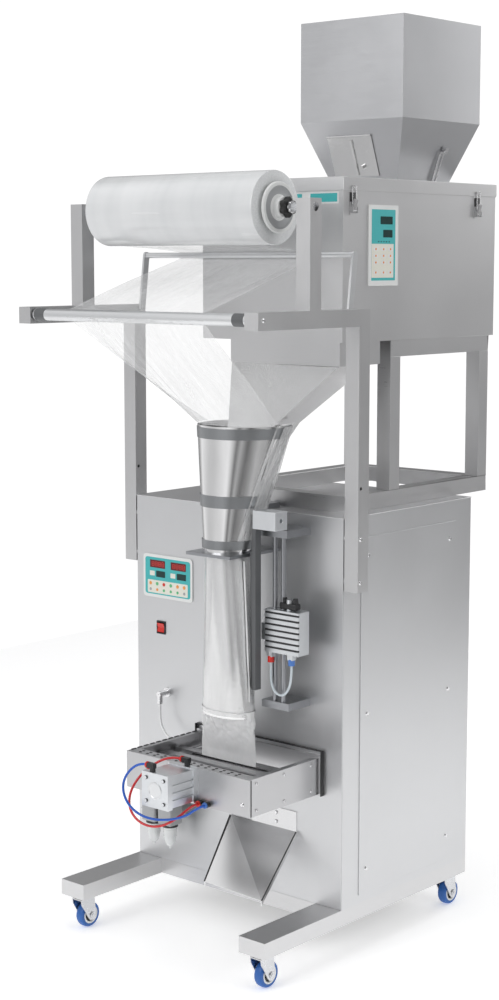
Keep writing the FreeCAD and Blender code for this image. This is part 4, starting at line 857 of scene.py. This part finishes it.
# %% Collar
FILM_Y = -269.7 * MM
THROAT_CENTRE = Vector((LINE_X, FILM_Y, 998 * MM))
THROAT_RADIUS, COLLAR_RADIUS = 59 * MM, 112 * MM
LIP_START, LIP_END = math.radians(139 - 360), math.radians(41)


def on_collar(angle, share, off=0.0):
    """A point on the collar at an angle round it and a share of its height."""
    centre = THROAT_CENTRE.lerp(RIM_CENTRE, share)
    radius = THROAT_RADIUS + share * (COLLAR_RADIUS - THROAT_RADIUS) + off
    return centre + Vector((radius * math.cos(angle), radius * math.sin(angle), 0))


def collar_band(low, high, start, end, off, uneven=0.0):
    def place_of(u, v):
        angle = start + (end - start) * u
        dent = uneven * noise.noise(Vector((math.cos(angle) * 2.2, math.sin(angle) * 2.2, v * 1.2)))
        return on_collar(angle, low + (high - low) * v, off + dent)
    return place_of


collar = bmesh.new()
add_skin(collar, collar_band(0, 1, LIP_START, LIP_END, 1 * MM, 1.4 * MM), 120, 24, 1.6 * MM)
collar_sheet = place("collar_sheet", collar, "machine", polished_sheet, "collar_steel")
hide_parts("forming_collar")
straps = bmesh.new()
for low, high in ((0.90, 0.985), (0.36, 0.455), (0.03, 0.10)):
    add_skin(straps, collar_band(low, high, LIP_START, LIP_END, 3 * MM), 90, 2, 1.6 * MM)
place("collar_straps", straps, "machine", strap_grey, "collar_steel")
print("collar has", len(collar_sheet.data.polygons), "faces")

# %% Film turned over the collar's right lip
edges = bmesh.new()
for start, end, lift in ((-8, 37, 2.4), (4, 41, 4.6)):
    def lip_place(u, v, start=start, end=end, lift=lift):
        angle = math.radians(start + (end - start) * u - 26 * (1 - v))
        off = lift * MM + folds(u * 0.7, v, 3.5 * MM, lift)
        return on_collar(angle, 0.06 + 0.93 * v, off * (0.25 + 0.75 * min(v * 3, 1)) + 1 * MM)
    add_skin(edges, lip_place, 24, 60, 0.3 * MM)
place("film_on_collar", edges, "machine", collar_film, "film_clear")

# %% [markdown]
# Below the throat the film hugs the tube, and its two edges meet in an upright fin on the right,
# where the seal bar presses them together. The fin is a narrow rippled strip.

# %% Film on the tube and its fin
TUBE_LOW, TUBE_HIGH = 600 * MM, 994 * MM


def tube_radii(z):
    """Half width and half depth of the forming tube at a height."""
    share = min(max((TUBE_HIGH + 4 * MM - z) / (403 * MM), 0), 1)
    return (55 + 20 * share) * MM, (55 - 10 * share) * MM


def on_tube(u, v):
    z = TUBE_LOW + (TUBE_HIGH - TUBE_LOW) * v
    wide, deep = tube_radii(z)
    angle = math.tau * u
    off = 0.9 * MM + abs(folds(math.cos(angle) * 0.25, z * 2 + math.sin(angle), 1.6 * MM, 7.0))
    return (LINE_X + (wide + off) * math.cos(angle), FILM_Y + (deep + off) * math.sin(angle), z)


tube_film = bmesh.new()
add_skin(tube_film, on_tube, 96, 60, 0.25 * MM, closed=True)
sleeve_finish = Finish("tube_film", Roughness=0.1, Coat_Weight=0.5)
veil = sleeve_finish.noise(7.0, (2.4, 2.4, 0.5), detail=4.0)
sleeve_finish.drive("Base Color", sleeve_finish.blend(veil, (0.8, 0.81, 0.82), (0.98, 0.98, 0.98)))
sleeve_finish.drive("Alpha", 0.02 + veil * 0.3)
sleeve_finish.bump(veil, 0.4, 0.004)
place("film_on_tube", tube_film, "machine", sleeve_finish.material, "film_clear")

fin = bmesh.new()


def fin_place(u, v):
    z = 640 * MM + 340 * MM * v
    wide, _ = tube_radii(z)
    out = 1.5 * MM + 13 * MM * u
    wrinkle = folds(u * 0.1, z * 5, 2.4 * MM, 2.0)
    return (LINE_X + wide + out * 0.8, FILM_Y - 10 * MM - out * 0.5 + wrinkle, z)


add_skin(fin, fin_place, 6, 60, 0.3 * MM)
place("film_fin", fin, "machine", bag_clear, "film_clear")

# %% [markdown]
# ## Bag
# Under the tube the film is gathered flat between the jaws. It is the most creased film on the
# machine. Its outline goes from the tube's oval to a flat pleat, and ridged noise makes sharp
# creases that run down and across.

# %% Bag
BAG_TOP, BAG_FLAT, BAG_END = 612 * MM, 500 * MM, 477 * MM
BAG_HALF = 88 * MM


def bag_place(u, v):
    """A point round the bag, with v = 0 at the tube and v = 1 at its sealed end."""
    z = BAG_TOP + (BAG_END - BAG_TOP) * v
    share = min(max((BAG_TOP - z) / (BAG_TOP - BAG_FLAT), 0), 1)
    ease = share * share * (3 - 2 * share)
    wide = (77 * MM) * (1 - ease) + BAG_HALF * ease
    deep = (46.6 * MM) * (1 - share ** 0.8) + 1.1 * MM * share
    angle = math.tau * u
    crease = noise.noise(Vector((math.cos(angle) * 3, math.sin(angle) * 3, z * 30)))
    crumple = noise.noise(Vector((math.cos(angle) * 7, math.sin(angle) * 7, z * 70 + 5)))
    calm = min(share * 4, 1) * (1 - ease * 0.97)
    off = calm * (18 * MM * (abs(crease) - 0.2) + 8 * MM * (abs(crumple) - 0.2))
    across = (wide + off * 0.5) * math.cos(angle)
    return (LINE_X + across, FILM_Y + (deep + off) * math.sin(angle), z)


bag = bmesh.new()
add_skin(bag, bag_place, 120, 44, 0.25 * MM, closed=True)
bag_piece = place("film_bag", bag, "machine", bag_clear, "film_clear")
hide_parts("bag_film")
print("bag from", BAG_TOP, "to", BAG_END)

# %% [markdown]
# ## Working in millimetres
# The pieces from here on are small, with sizes a maker would give in millimetres. Three short
# helpers take such sizes and hand them to the mesh tools in metres.

# %% Shapes in millimetres
def block_mm(mesh, low, high, round_by, steps=2, finish=0, turn=None):
    """Add a rounded block between two corners."""
    add_block(mesh, Vector(low) * MM, Vector(high) * MM, round_by * MM, steps, finish, turn)


def turned_mm(mesh, profile, centre, axis, sides, finish=0, closed=True):
    """Add a shape turned about an axis."""
    metres = [(radius * MM, height * MM) for radius, height in profile]
    add_turned(mesh, metres, Vector(centre) * MM, axis, sides, finish, closed)


def bar_mm(mesh, start, end, radius, sides=20, finish=0):
    """Add a round bar between two places."""
    add_bar(mesh, Vector(start) * MM, Vector(end) * MM, radius * MM, sides, finish)


# %% [markdown]
# ## Control fascia
# The operator's panel is a printed film on a thin plate: a white border, a teal field with four
# windows and a cream band of soft keys. Each print area is its own very thin plate, so the edges
# stay crisp at any distance. One helper turns shares of the panel into places, which makes the same
# code serve the upright panel on the weigher's side.

# %% Panel helper
PRINT = 0.25
INK = 0.05
SEGMENT_CORNER = 0.15


class Panel:
    """A printed control panel: places are shares of its width and height from its top left."""

    def __init__(self, mesh, corner, across, down, outward):
        self.mesh = mesh
        self.corner, self.across, self.down = Vector(corner), Vector(across), Vector(down)
        self.outward = Vector(outward).normalized()

    def spot(self, u, v, lift=0.0):
        return self.corner + self.across * u + self.down * v + self.outward * lift

    def area(self, u0, u1, v0, v1, lift, finish, corner=2, thick=PRINT):
        """A rounded print area or window."""
        width, height = (u1 - u0) * self.across.length, (v1 - v0) * self.down.length
        centre = self.spot((u0 + u1) / 2, (v0 + v1) / 2, lift)
        along, fall = self.across.normalized(), self.down.normalized()

        def frame_of(x, y, z):
            return (centre + along * x - fall * y + self.outward * z) * MM

        add_plate(self.mesh, rounded_outline(width, height, corner, 4), thick, frame_of, finish)

    def key(self, u, v, radius, lift, finish):
        """A domed soft key."""
        dome = [(radius, 0), (radius, 0.5), (radius * 0.8, 0.8), (radius * 0.4, 0.95), (0, 1.0)]
        turned_mm(self.mesh, dome, self.spot(u, v, lift), self.outward, 18, finish, closed=False)

    def digits(self, u0, u1, v0, v1, count, lift, finish):
        """Seven-segment figure eights: seven short bars for each digit."""
        pitch = (u1 - u0) / count
        bar = 0.12 * pitch
        half = (v0 + v1) / 2
        thick = (v1 - v0) * 0.09
        for index in range(count):
            left, right = u0 + pitch * (index + 0.16), u0 + pitch * (index + 0.78)
            bars = [(left + bar * 0.6, right - bar * 0.6, v - thick / 2, v + thick / 2)
                    for v in (v0, half, v1)]
            bars += [(u - bar / 2, u + bar / 2, start + thick * 0.6, end - thick * 0.6)
                     for u in (left, right) for start, end in ((v0, half), (half, v1))]
            for segment in bars:
                self.area(*segment, lift, finish, SEGMENT_CORNER, INK)


# %% Fascia
FRONT_Y = -159.7
FASCIA_X, FASCIA_Z = -229, 882
FASCIA_W, FASCIA_H, FASCIA_D = 172, 112, 3
WHITE, TEAL, CREAM, GLASS, LIT, ORANGE, GREEN, RED, GREY, BLACK, STEEL, MAROON = range(12)
panel_finishes = [white_plastic, teal_print, cream_print, display_window, lit_segment, orange_key,
                  green_key, red_gloss, mid_grey, black_plastic, bright_plate, red_window]
controls = bmesh.new()
fascia = Panel(controls, (FASCIA_X - FASCIA_W / 2, FRONT_Y, FASCIA_Z + FASCIA_H / 2),
               (FASCIA_W, 0, 0), (0, 0, -FASCIA_H), (0, -1, 0))
ON_TEAL, ON_WINDOW = FASCIA_D + PRINT, FASCIA_D + 2 * PRINT
fascia.area(0, 1, 0, 1, 0, WHITE, 9, FASCIA_D)
fascia.area(0.04, 0.96, 0.07, 0.93, FASCIA_D, TEAL, 7)
fascia.area(0.09, 0.91, 0.6, 0.9, ON_TEAL, CREAM, 3)
for u0, u1 in ((0.14, 0.45), (0.565, 0.875)):
    fascia.area(u0, u1, 0.13, 0.31, ON_TEAL, MAROON, 1.5)
    fascia.digits(u0 + 0.03, u1 - 0.01, 0.17, 0.27, 4, ON_WINDOW, LIT)
for u0, u1 in ((0.265, 0.45), (0.69, 0.875)):
    fascia.area(u0, u1, 0.375, 0.52, ON_TEAL, GLASS, 1.5)
    fascia.area(u0 - 0.13, u0 - 0.03, 0.39, 0.5, ON_TEAL, CREAM, 1.5)
KEY_COLUMNS = (0.15, 0.286, 0.424, 0.566, 0.704, 0.84)
KEY_ROWS = ((0.68, 4.6, (ORANGE, GREEN, RED, GREEN, ORANGE, ORANGE)),
            (0.82, 3.8, (GREY, ORANGE, GREEN, GREEN, GREEN, GREY)))
for row, radius, shades_in_row in KEY_ROWS:
    for column, shade in zip(KEY_COLUMNS, shades_in_row):
        fascia.key(column, row, radius, ON_WINDOW, shade)

# %% [markdown]
# The power switch sits in a black frame that clips into the sheet. Its rocker is a part of its own,
# so this piece only adds the frame, the four liner walls behind it and the pin the rocker turns on.

# %% Switch surround
SWITCH_X, SWITCH_Z, HALF_W, HALF_H = -255, 748, 15, 17
RIM, PROUD, LINER = 3, 3, 0.4
LINER_DEPTH, PIN_DEPTH, PIN_RADIUS = 22, 6, 1.5
for left, right, low, high in ((-HALF_W, HALF_W, -HALF_H, RIM - HALF_H),
                               (-HALF_W, HALF_W, HALF_H - RIM, HALF_H),
                               (-HALF_W, RIM - HALF_W, RIM - HALF_H, HALF_H - RIM),
                               (HALF_W - RIM, HALF_W, RIM - HALF_H, HALF_H - RIM)):
    block_mm(controls, (SWITCH_X + left, FRONT_Y - PROUD, SWITCH_Z + low),
             (SWITCH_X + right, FRONT_Y, SWITCH_Z + high), 0.7, 2, BLACK)
for side in (-1, 1):
    wall_x, wall_z = SWITCH_X + side * 12.2, SWITCH_Z + side * 14.4
    block_mm(controls, (wall_x - LINER, FRONT_Y, SWITCH_Z - 14.3),
             (wall_x + LINER, FRONT_Y + LINER_DEPTH, SWITCH_Z + 14.3), 0.1, 1, BLACK)
    block_mm(controls, (SWITCH_X - 12, FRONT_Y, wall_z - LINER),
             (SWITCH_X + 12, FRONT_Y + LINER_DEPTH, wall_z + LINER), 0.1, 1, BLACK)
PIN_Y = FRONT_Y + PIN_DEPTH
bar_mm(controls, (SWITCH_X - 12, PIN_Y, SWITCH_Z), (SWITCH_X + 12, PIN_Y, SWITCH_Z),
       PIN_RADIUS, 16, STEEL)
control_fascia = place("control_fascia", controls, "machine", panel_finishes, "fascia_film")
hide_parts("front_controls")
print("fascia faces:", len(control_fascia.data.polygons))

# %% [markdown]
# The weigher has a tall panel of its own on the right side, with a white moulded frame, two dark
# windows over a printed field, and a block of small keys.

# %% Weigher panel
pad_low, pad_high = [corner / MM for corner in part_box("weigher_keypad")]
pad = bmesh.new()
side_panel = Panel(pad, (pad_low.x, pad_low.y, pad_high.z), (0, pad_high.y - pad_low.y, 0),
                   (0, 0, pad_low.z - pad_high.z), (1, 0, 0))
BODY = 2.6
side_panel.area(0, 1, 0, 1, 0, WHITE, 3, BODY)
side_panel.area(0.1, 0.9, 0.055, 0.935, BODY, TEAL, 1.2)
side_panel.area(0.1, 0.84, 0.48, 0.9, BODY + PRINT, CREAM, 1.2)
side_panel.area(0.39, 0.8, 0.14, 0.237, BODY + PRINT, GLASS, 1.5)
side_panel.area(0.485, 0.8, 0.305, 0.4, BODY + PRINT, GLASS, 1.5)
KEY_HALF_U, KEY_HALF_V = 0.075, 0.024
for column in (0.24, 0.5, 0.735):
    for row in (0.545, 0.628, 0.71, 0.835):
        side_panel.area(column - KEY_HALF_U, column + KEY_HALF_U, row - KEY_HALF_V, row + KEY_HALF_V,
                        BODY + 2 * PRINT, WHITE, 1)
        side_panel.key(column, row, 2.7, BODY + 3 * PRINT, ORANGE)
for column in (0.33, 0.42, 0.51, 0.6, 0.69):
    side_panel.key(column, 0.452, 1.5, BODY + PRINT, BLACK)
weigher_panel = place("weigher_panel", pad, "machine", panel_finishes, "fascia_film")
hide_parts("weigher_keypad")
print("weigher panel faces:", len(weigher_panel.data.polygons))

# %% [markdown]
# ## Castor wheels
# Each wheel has a blue tyre with a rounded tread, a pale hub ring, and a dark hollow web with five
# ribs round the bearing. The ribs also show when the wheel has turned.

# %% Wheel profiles
HALF_WHEEL, WHEEL_RADIUS, AXLE_BORE, WHEEL_RIBS = 12, 32.5, 4.05, 5
shoulder = [(23, 0.4), (27, 0), (30, 1.2), (31.8, 4), (WHEEL_RADIUS, 9)]
TREAD = [(radius, inset - HALF_WHEEL) for radius, inset in shoulder]
TREAD += [(radius, HALF_WHEEL - inset) for radius, inset in reversed(shoulder)]
HUB_RING = [(17.5, 7), (18, 11.2), (19, 12), (22.4, 12), (23.2, 11.4), (23.2, 6)]
HUB_WEB = [(9, 2), (17.6, 2), (17.6, 4.5), (9, 3.5)]
HUB_BOSS = [(AXLE_BORE, 2), (9.2, 2), (9.2, 10.4), (8.4, 11), (AXLE_BORE, 11)]
RIB_PLACE, RIB_REACH = (5.6, 13.2), Vector((2.6, 4.4, 0.9))

# %% Wheels
for spot in ("front_left", "front_right", "rear_left", "rear_right"):
    name = f"castor_wheel_{spot}"
    centre = middle(name) / MM
    wheel = bmesh.new()
    turned_mm(wheel, TREAD, centre, (1, 0, 0), 64, 0)
    for way_out in (-1, 1):
        axis = (way_out, 0, 0)
        turned_mm(wheel, HUB_RING, centre, axis, 64, 1)
        turned_mm(wheel, HUB_WEB, centre, axis, 48, 2)
        turned_mm(wheel, HUB_BOSS, centre, axis, 40, 3)
        for step in range(WHEEL_RIBS):
            turn = Matrix.Rotation(math.tau * step / WHEEL_RIBS, 4, "X")
            rib = centre + turn @ Vector((way_out * RIB_PLACE[0], RIB_PLACE[1], 0))
            block_mm(wheel, rib - RIB_REACH, rib + RIB_REACH, 0.3, 1, 2, turn)
    wheel_finishes = [tyre_blue, white_plastic, dark_grey, zinc_plate]
    dressed = place(f"tyre_and_hub_{spot}", wheel, f"wheel_{spot}", wheel_finishes, "castor_tyre")
    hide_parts(name)
print("castor wheels dressed")

# %% [markdown]
# ## Air filter and regulator
# The two air units are moulded heads with milky bowls that end in a small drain. The bowls carry
# three shallow rings near the top, where the guard is screwed on.

# %% Filter heads and bowls
units = bmesh.new()
UNIT_Y = -212.7
FILTER_X, OILER_X = -235, -178
BOWL = [(0, 187), (3, 187), (3.4, 192), (6, 194), (10.5, 197.5), (13.4, 204), (15.4, 216), (16.8, 232),
        (17.8, 250), (0, 250)]
GUARD_RING = [(18, 250), (21, 246), (21, 252), (18, 253)]
for unit_x in (FILTER_X, OILER_X):
    block_mm(units, (unit_x - 23, UNIT_Y - 23, 252), (unit_x + 23, UNIT_Y + 23, 300), 4, 3, 0)
    turned_mm(units, GUARD_RING, (unit_x, UNIT_Y, 0), (0, 0, 1), 48, 2)
    turned_mm(units, BOWL, (unit_x, UNIT_Y, 0), (0, 0, 1), 48, 1, closed=False)
    for step in range(3):
        level = 239 - 9 * step
        thread = [(17.2, level - 1), (18.1 - step * 0.8, level), (17.2, level + 1)]
        turned_mm(units, thread, (unit_x, UNIT_Y, 0), (0, 0, 1), 48, 1)
block_mm(units, (-212, UNIT_Y - 15, 260), (-201, UNIT_Y + 15, 290), 1.5, 2, 2)
block_mm(units, (-258, UNIT_Y - 7, 300), (-156, FRONT_Y, 306), 0.8, 2, 3)
bar_mm(units, (FILTER_X, UNIT_Y, 300), (FILTER_X, UNIT_Y, 324), 5, 24, 3)
turned_mm(units, [(4, 0), (7.4, 0), (8, 0.7), (8, 16), (4, 16)], (-274, UNIT_Y, 275), (1, 0, 0), 32, 3)
unit_finishes = [mid_grey, bowl_white, black_plastic, zinc_plate]
air_units = place("air_units", units, "machine", unit_finishes, "filter_plastic")
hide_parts("air_filter")

# %% [markdown]
# The regulator on top has a ribbed knob. Its twenty-four ribs are a wave in its radius, which fades
# out on the small top layers where the knob is rounded off.

# %% Ribbed knob
knob_low, knob_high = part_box("regulator_knob")
knob_axis = middle("regulator_knob")
RIBS, KNOB_RADIUS, RIB_DEPTH = 24, 16 * MM, 0.03
RIBBED_ABOVE = 0.88
knob_steps = RIBS * 6
knob_layers = [(0.9, knob_low.z), (0.98, knob_low.z + 2 * MM), (0.98, knob_high.z - 3 * MM),
               (0.86, knob_high.z - 0.6 * MM), (0.7, knob_high.z)]
knob = bmesh.new()
layers = []
for share, height in knob_layers:
    row = []
    for step in range(knob_steps):
        angle = math.tau * step / knob_steps
        rib = RIB_DEPTH * (1 + math.cos(RIBS * angle)) * (share > RIBBED_ABOVE)
        reach = KNOB_RADIUS * share * (1 - rib)
        x, y = knob_axis.x + reach * math.cos(angle), knob_axis.y + reach * math.sin(angle)
        row.append(knob.verts.new((x, y, height)))
    layers.append(row)
for one, two in zip(layers, layers[1:]):
    for step in range(knob_steps):
        after = (step + 1) % knob_steps
        knob.faces.new((one[step], one[after], two[after], two[step]))
knob.faces.new(layers[0][::-1])
knob.faces.new(layers[-1])
ribbed_knob = place("ribbed_knob", knob, "knob", knob_black, "knob_black")
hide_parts("regulator_knob")
print("air units and knob dressed")

# %% [markdown]
# ## Small fittings round the jaws and the carriage
# The jaw box is sealed to the cabinet with black edging, and the push-in fittings have coloured
# release collars: these are the small dark and bright marks that make the air work readable.

# %% Edging round the jaw box's back plate
trim = bmesh.new()
PLATE_LEFT, PLATE_RIGHT, PLATE_Y, PLATE_LOW, PLATE_TOP = -126, 282, -167.7, 405, 515
EDGE, EDGE_PARTS = 3, 24
for start in (PLATE_RIGHT, PLATE_LEFT - EDGE):
    block_mm(trim, (start, PLATE_Y - EDGE, PLATE_LOW),
             (start + EDGE, FRONT_Y, PLATE_TOP + EDGE), 0.8, 2, 0)
for step in range(EDGE_PARTS):
    start = PLATE_LEFT + step * (PLATE_RIGHT - PLATE_LEFT) / EDGE_PARTS
    block_mm(trim, (start + 0.6, PLATE_Y - 1, PLATE_TOP),
             (start + 16.4, FRONT_Y, PLATE_TOP + EDGE), 1.2, 2, 0)

# %% Bolts, edging and black hole rings painted as shade on the jaw box
JAW_FRONT_Y, JAW_LEFT, JAW_RIGHT, JAW_TOP = -424.7, -121, 277, 500
LINE_MM, RAM_Z = 75, 460
BOLT = [(0, 0), (4, 0), (3.6, 1.8), (2, 2.4), (2, 1.2), (0, 1.2)]
SOCKET_BOLT = [(0, 0), (4.6, 0), (4.6, 2.6), (4.1, 3), (2.3, 3), (2.3, 1.5), (0, 1.5)]
END_RING = [(0, 0), (21, 0), (21, 0.9), (18, 1.2), (17, 0.5), (0, 0.5)]
HOLE_SHADE_RING = [(1.4, -1.5), (2.1, -1.5), (2.1, 0), (3.9, 0), (3.9, 0.6), (1.4, 0.6)]
for edge_x in (JAW_LEFT, JAW_RIGHT):
    out = math.copysign(1, edge_x - LINE_MM)
    block_mm(trim, (edge_x - 0.4, JAW_FRONT_Y + 4.4, 411),
             (edge_x + 0.7, JAW_FRONT_Y + 7.4, 499), 0.2, 1, 0)
    for bolt_y in (-400, -300, -200):
        for bolt_z in (424, 488):
            turned_mm(trim, BOLT, (edge_x, bolt_y, bolt_z), (out, 0, 0), 20, 1, closed=False)
for bolt_x, bolt_z in ((-28, -28), (28, -28), (-28, 28), (28, 28)):
    turned_mm(trim, SOCKET_BOLT, (LINE_MM + bolt_x, -529.6, RAM_Z + bolt_z), (0, -1, 0), 24, 2,
              closed=False)
turned_mm(trim, END_RING, (LINE_MM, -529.7, RAM_Z), (0, -1, 0), 48, 3, closed=False)
for step in range(11):
    start = -410 + 22 * step
    block_mm(trim, (JAW_LEFT - 0.5, start, JAW_TOP - 0.4),
             (JAW_LEFT + 4.5, start + 15, JAW_TOP + 1.4), 0.5, 1, 0)
# Black rings set into the holes along the jaw box's top are painted shade, so the holes read dark.
for step in range(14):
    for hole_y in (-411.7, -399.7):
        turned_mm(trim, HOLE_SHADE_RING, (-87 + 24 * step, hole_y, JAW_TOP), (0, 0, 1), 16, 0)
trim_finishes = [black_plastic, bright_plate, black_paint, satin_aluminium]
place("jaw_edging", trim, "machine", trim_finishes, "fitting_blue")

# %% Black strips painted as shadow along the chute's sides and behind the latches
chute_shadow_bars = bmesh.new()
# Two thin black bars along the chute's side edges are painted shadow, standing in for the dark gap and
# shaded edge beside the chute.
CHUTE_SHADOW_LINES = (((-14.6, -164, 298), (14.4, -293.5, 164)),
             ((201.6, -164, 298), (201.6, -293.5, 158)))
for high, low in CHUTE_SHADOW_LINES:
    bar_mm(chute_shadow_bars, high, low, 1.6, 10)
place("chute_shadow_strips", chute_shadow_bars, "machine", black_plastic, "fitting_blue")
# Thin black plates on the weigher's side behind each latch lever are painted shade.
latch_shade_plates = bmesh.new()
for shade_plate_y in (-72.7, 446.3):
    block_mm(latch_shade_plates, (293, shade_plate_y - 12, 1799), (294.2, shade_plate_y + 12, 1848), 0.4, 2, 0)
place("latch_shadow_plates", latch_shade_plates, "machine", black_paint, "latch_steel")

# %% Release collars
RED_ONE, BLUE_ONE, BLACK_ONE = range(3)
RAM_COLLAR = [(3.4, 0), (7.9, 0), (7.9, 5), (6.4, 6.4), (3.4, 6.4)]
BOX_COLLAR = [(3.4, 0), (7.4, 0), (7.4, 3), (6.2, 4), (3.4, 4)]
CUP_COLLAR = [(3.4, 0), (8, 0.8), (8, 15), (7.1, 16), (7.1, 12), (3.4, 12)]
collars = bmesh.new()
for collar_x, collar_y in ((47, -521.7), (75, -432.7)):
    turned_mm(collars, RAM_COLLAR, (collar_x, collar_y, 516), (-1, 0, 0), 28, RED_ONE)
for collar_x, number in ((127, RED_ONE), (149, BLUE_ONE)):
    turned_mm(collars, BOX_COLLAR, (collar_x, -436, 418), (0, -1, 0), 28, number)
place("release_collars", collars, "machine", [red_gloss, blue_key], "fitting_blue")

# %% [markdown]
# The film-pull carriage has cooling grooves across its front; a black strip at the back of each is
# painted shade, so they read as dark lines. A black pair of flow controls sits on top. They ride with
# the carriage.

# %% Carriage trim
carriage_trim_and_groove_shade = bmesh.new()
for collar_x, number in ((189, RED_ONE), (253, BLUE_ONE)):
    turned_mm(carriage_trim_and_groove_shade, CUP_COLLAR, (collar_x, -244.9, 736), (0, 0, 1), 28, number)
CARRIAGE_FRONT, CARRIAGE_LEFT, CARRIAGE_RIGHT, CARRIAGE_Y = -251.7, 175, 279, -231.7
# A black strip at the back of each groove is painted shade.
for step in range(7):
    groove = 772.3 + 14 * step
    block_mm(carriage_trim_and_groove_shade, (CARRIAGE_LEFT, CARRIAGE_FRONT + 1, groove),
             (CARRIAGE_RIGHT, CARRIAGE_FRONT + 4.2, groove + 4.4), 0.3, 1, BLACK_ONE)
block_mm(carriage_trim_and_groove_shade, (211, -241, 868), (263, -222, 884), 3, 3, BLACK_ONE)
for knob_x in (220, 254):
    bar_mm(carriage_trim_and_groove_shade, (knob_x, CARRIAGE_Y, 883), (knob_x, CARRIAGE_Y, 896), 6, 20, BLACK_ONE)
carriage_finishes = [red_gloss, blue_key, black_plastic]
place("carriage_collars_and_groove_shade", carriage_trim_and_groove_shade, "carriage", carriage_finishes, "fitting_blue")
print("edging and collars placed")

# %% [markdown]
# A blank rating plate sits on the weigher's front. It is a thin piece laid on the sheet.

# %% Blank plate
plate_mesh = bmesh.new()
plate_panel = Panel(plate_mesh, (138, -109.7, 1850), (142, 0, 0), (0, 0, -28), (0, -1, 0))
PLATE_THICK, PLATE_INK = 0.3, 0.1
plate_panel.area(0, 1, 0, 1, 0, WHITE, 1.5, PLATE_THICK)
plate_panel.area(0.03, 0.22, 0.14, 0.86, PLATE_THICK, TEAL, 1, PLATE_INK)
plate_panel.area(0.4, 0.97, 0.14, 0.86, PLATE_THICK, TEAL, 0.6, PLATE_INK)
place("blank_plate", plate_mesh, "machine", [white_plastic, teal_print], "weigher_steel")
print("blank plate placed")

# %% [markdown]
# ## Studio
# Polished steel shows the room more than itself, so the room is what shapes it. The floor and the
# walls are pale, the wall behind the camera's right is dimmer, and three large soft lights stand
# round the machine: one in front on the left, one on the right, and one above.

# %% Floor and world
floor_finish = Finish("studio_floor", Roughness=0.9, Emission_Color=(1, 1, 1, 1), Emission_Strength=0.42)
dust = floor_finish.noise(0.8, detail=2.0)
floor_finish.drive("Base Color", floor_finish.blend(dust, (0.93, 0.93, 0.93), (0.96, 0.96, 0.96)))
floor_mesh = bmesh.new()
FLOOR_REACH = 3.0
bmesh.ops.create_grid(floor_mesh, x_segments=1, y_segments=1, size=FLOOR_REACH)
floor_data = bpy.data.meshes.new("studio_floor")
floor_mesh.to_mesh(floor_data)
floor_mesh.free()
floor_data.materials.append(floor_finish.material)
floor = bpy.data.objects.new("studio_floor", floor_data)
floor.location.z = -0.0005
bpy.context.scene.collection.objects.link(floor)

world = bpy.data.worlds.new("studio")
bpy.context.scene.world = world
world.use_nodes = True
wires = world.node_tree
wires.nodes.clear()


def world_node(kind, inputs=(), **settings):
    made = wires.nodes.new(kind)
    for key, value in settings.items():
        setattr(made, key, value)
    for key, value in inputs:
        if isinstance(value, bpy.types.NodeSocket):
            wires.links.new(value, made.inputs[key])
        else:
            made.inputs[key].default_value = value
    return made


way = world_node("ShaderNodeTexCoord").outputs["Generated"]
BRIGHT_SIDE = (-0.62, -0.66, 0.12)
toward = world_node("ShaderNodeVectorMath", [(0, way), (1, BRIGHT_SIDE)], operation="DOT_PRODUCT")
share = world_node("ShaderNodeMath", [(0, toward.outputs["Value"]), (1, 0.5), (2, 0.5)],
                   operation="MULTIPLY_ADD")
shades = world_node("ShaderNodeValToRGB", [(0, share.outputs[0])])
SHADE_STOPS = [(0.0, 0.42), (0.22, 0.66), (0.4, 0.2), (0.55, 0.6),
               (0.66, 0.26), (0.8, 1.25), (0.9, 1.0), (1.0, 0.66)]
ramp = shades.color_ramp
while len(ramp.elements) < len(SHADE_STOPS):
    ramp.elements.new(0.5)
for element, (position, shade) in zip(ramp.elements, SHADE_STOPS):
    element.position = position
    element.color = (shade, shade, shade * 1.01, 1)
seen = world_node("ShaderNodeLightPath").outputs["Is Camera Ray"]
room = world_node("ShaderNodeBackground", [("Color", shades.outputs["Color"]), ("Strength", 0.72)])
paper = world_node("ShaderNodeBackground", [("Color", (1, 1, 1, 1)), ("Strength", 1.05)])
both = world_node("ShaderNodeMixShader", [(0, seen), (1, room.outputs[0]), (2, paper.outputs[0])])
world_node("ShaderNodeOutputWorld", [("Surface", both.outputs[0])])

# %% Lights
def soft_light(name, place, aim, size, power):
    """A square soft box pointed at a place."""
    data = bpy.data.lights.new(name, "AREA")
    data.shape = "RECTANGLE"
    data.size, data.size_y = size
    data.energy = power
    light = bpy.data.objects.new(name, data)
    way_to = Vector(aim) - Vector(place)
    light.matrix_world = Matrix.Translation(place) @ way_to.to_track_quat("-Z", "Y").to_matrix().to_4x4()
    bpy.context.scene.collection.objects.link(light)


soft_light("front_left", (-0.9, -4.3, 3.2), (0, 0, 1.1), (1.6, 2.4), 40)
soft_light("right_side", (3.4, 0.4, 2.2), (0, 0, 1.2), (1.2, 2.4), 16)
soft_light("overhead", (0.3, -0.4, 4.6), (0, 0, 1.2), (2.6, 2.6), 40)
soft_light("behind", (0.6, 3.6, 2.6), (0, 0, 1.2), (2.4, 1.8), 30)
bpy.context.scene.view_settings.view_transform = "Standard"
bpy.context.scene.view_settings.look = "None"
print("studio lights set")
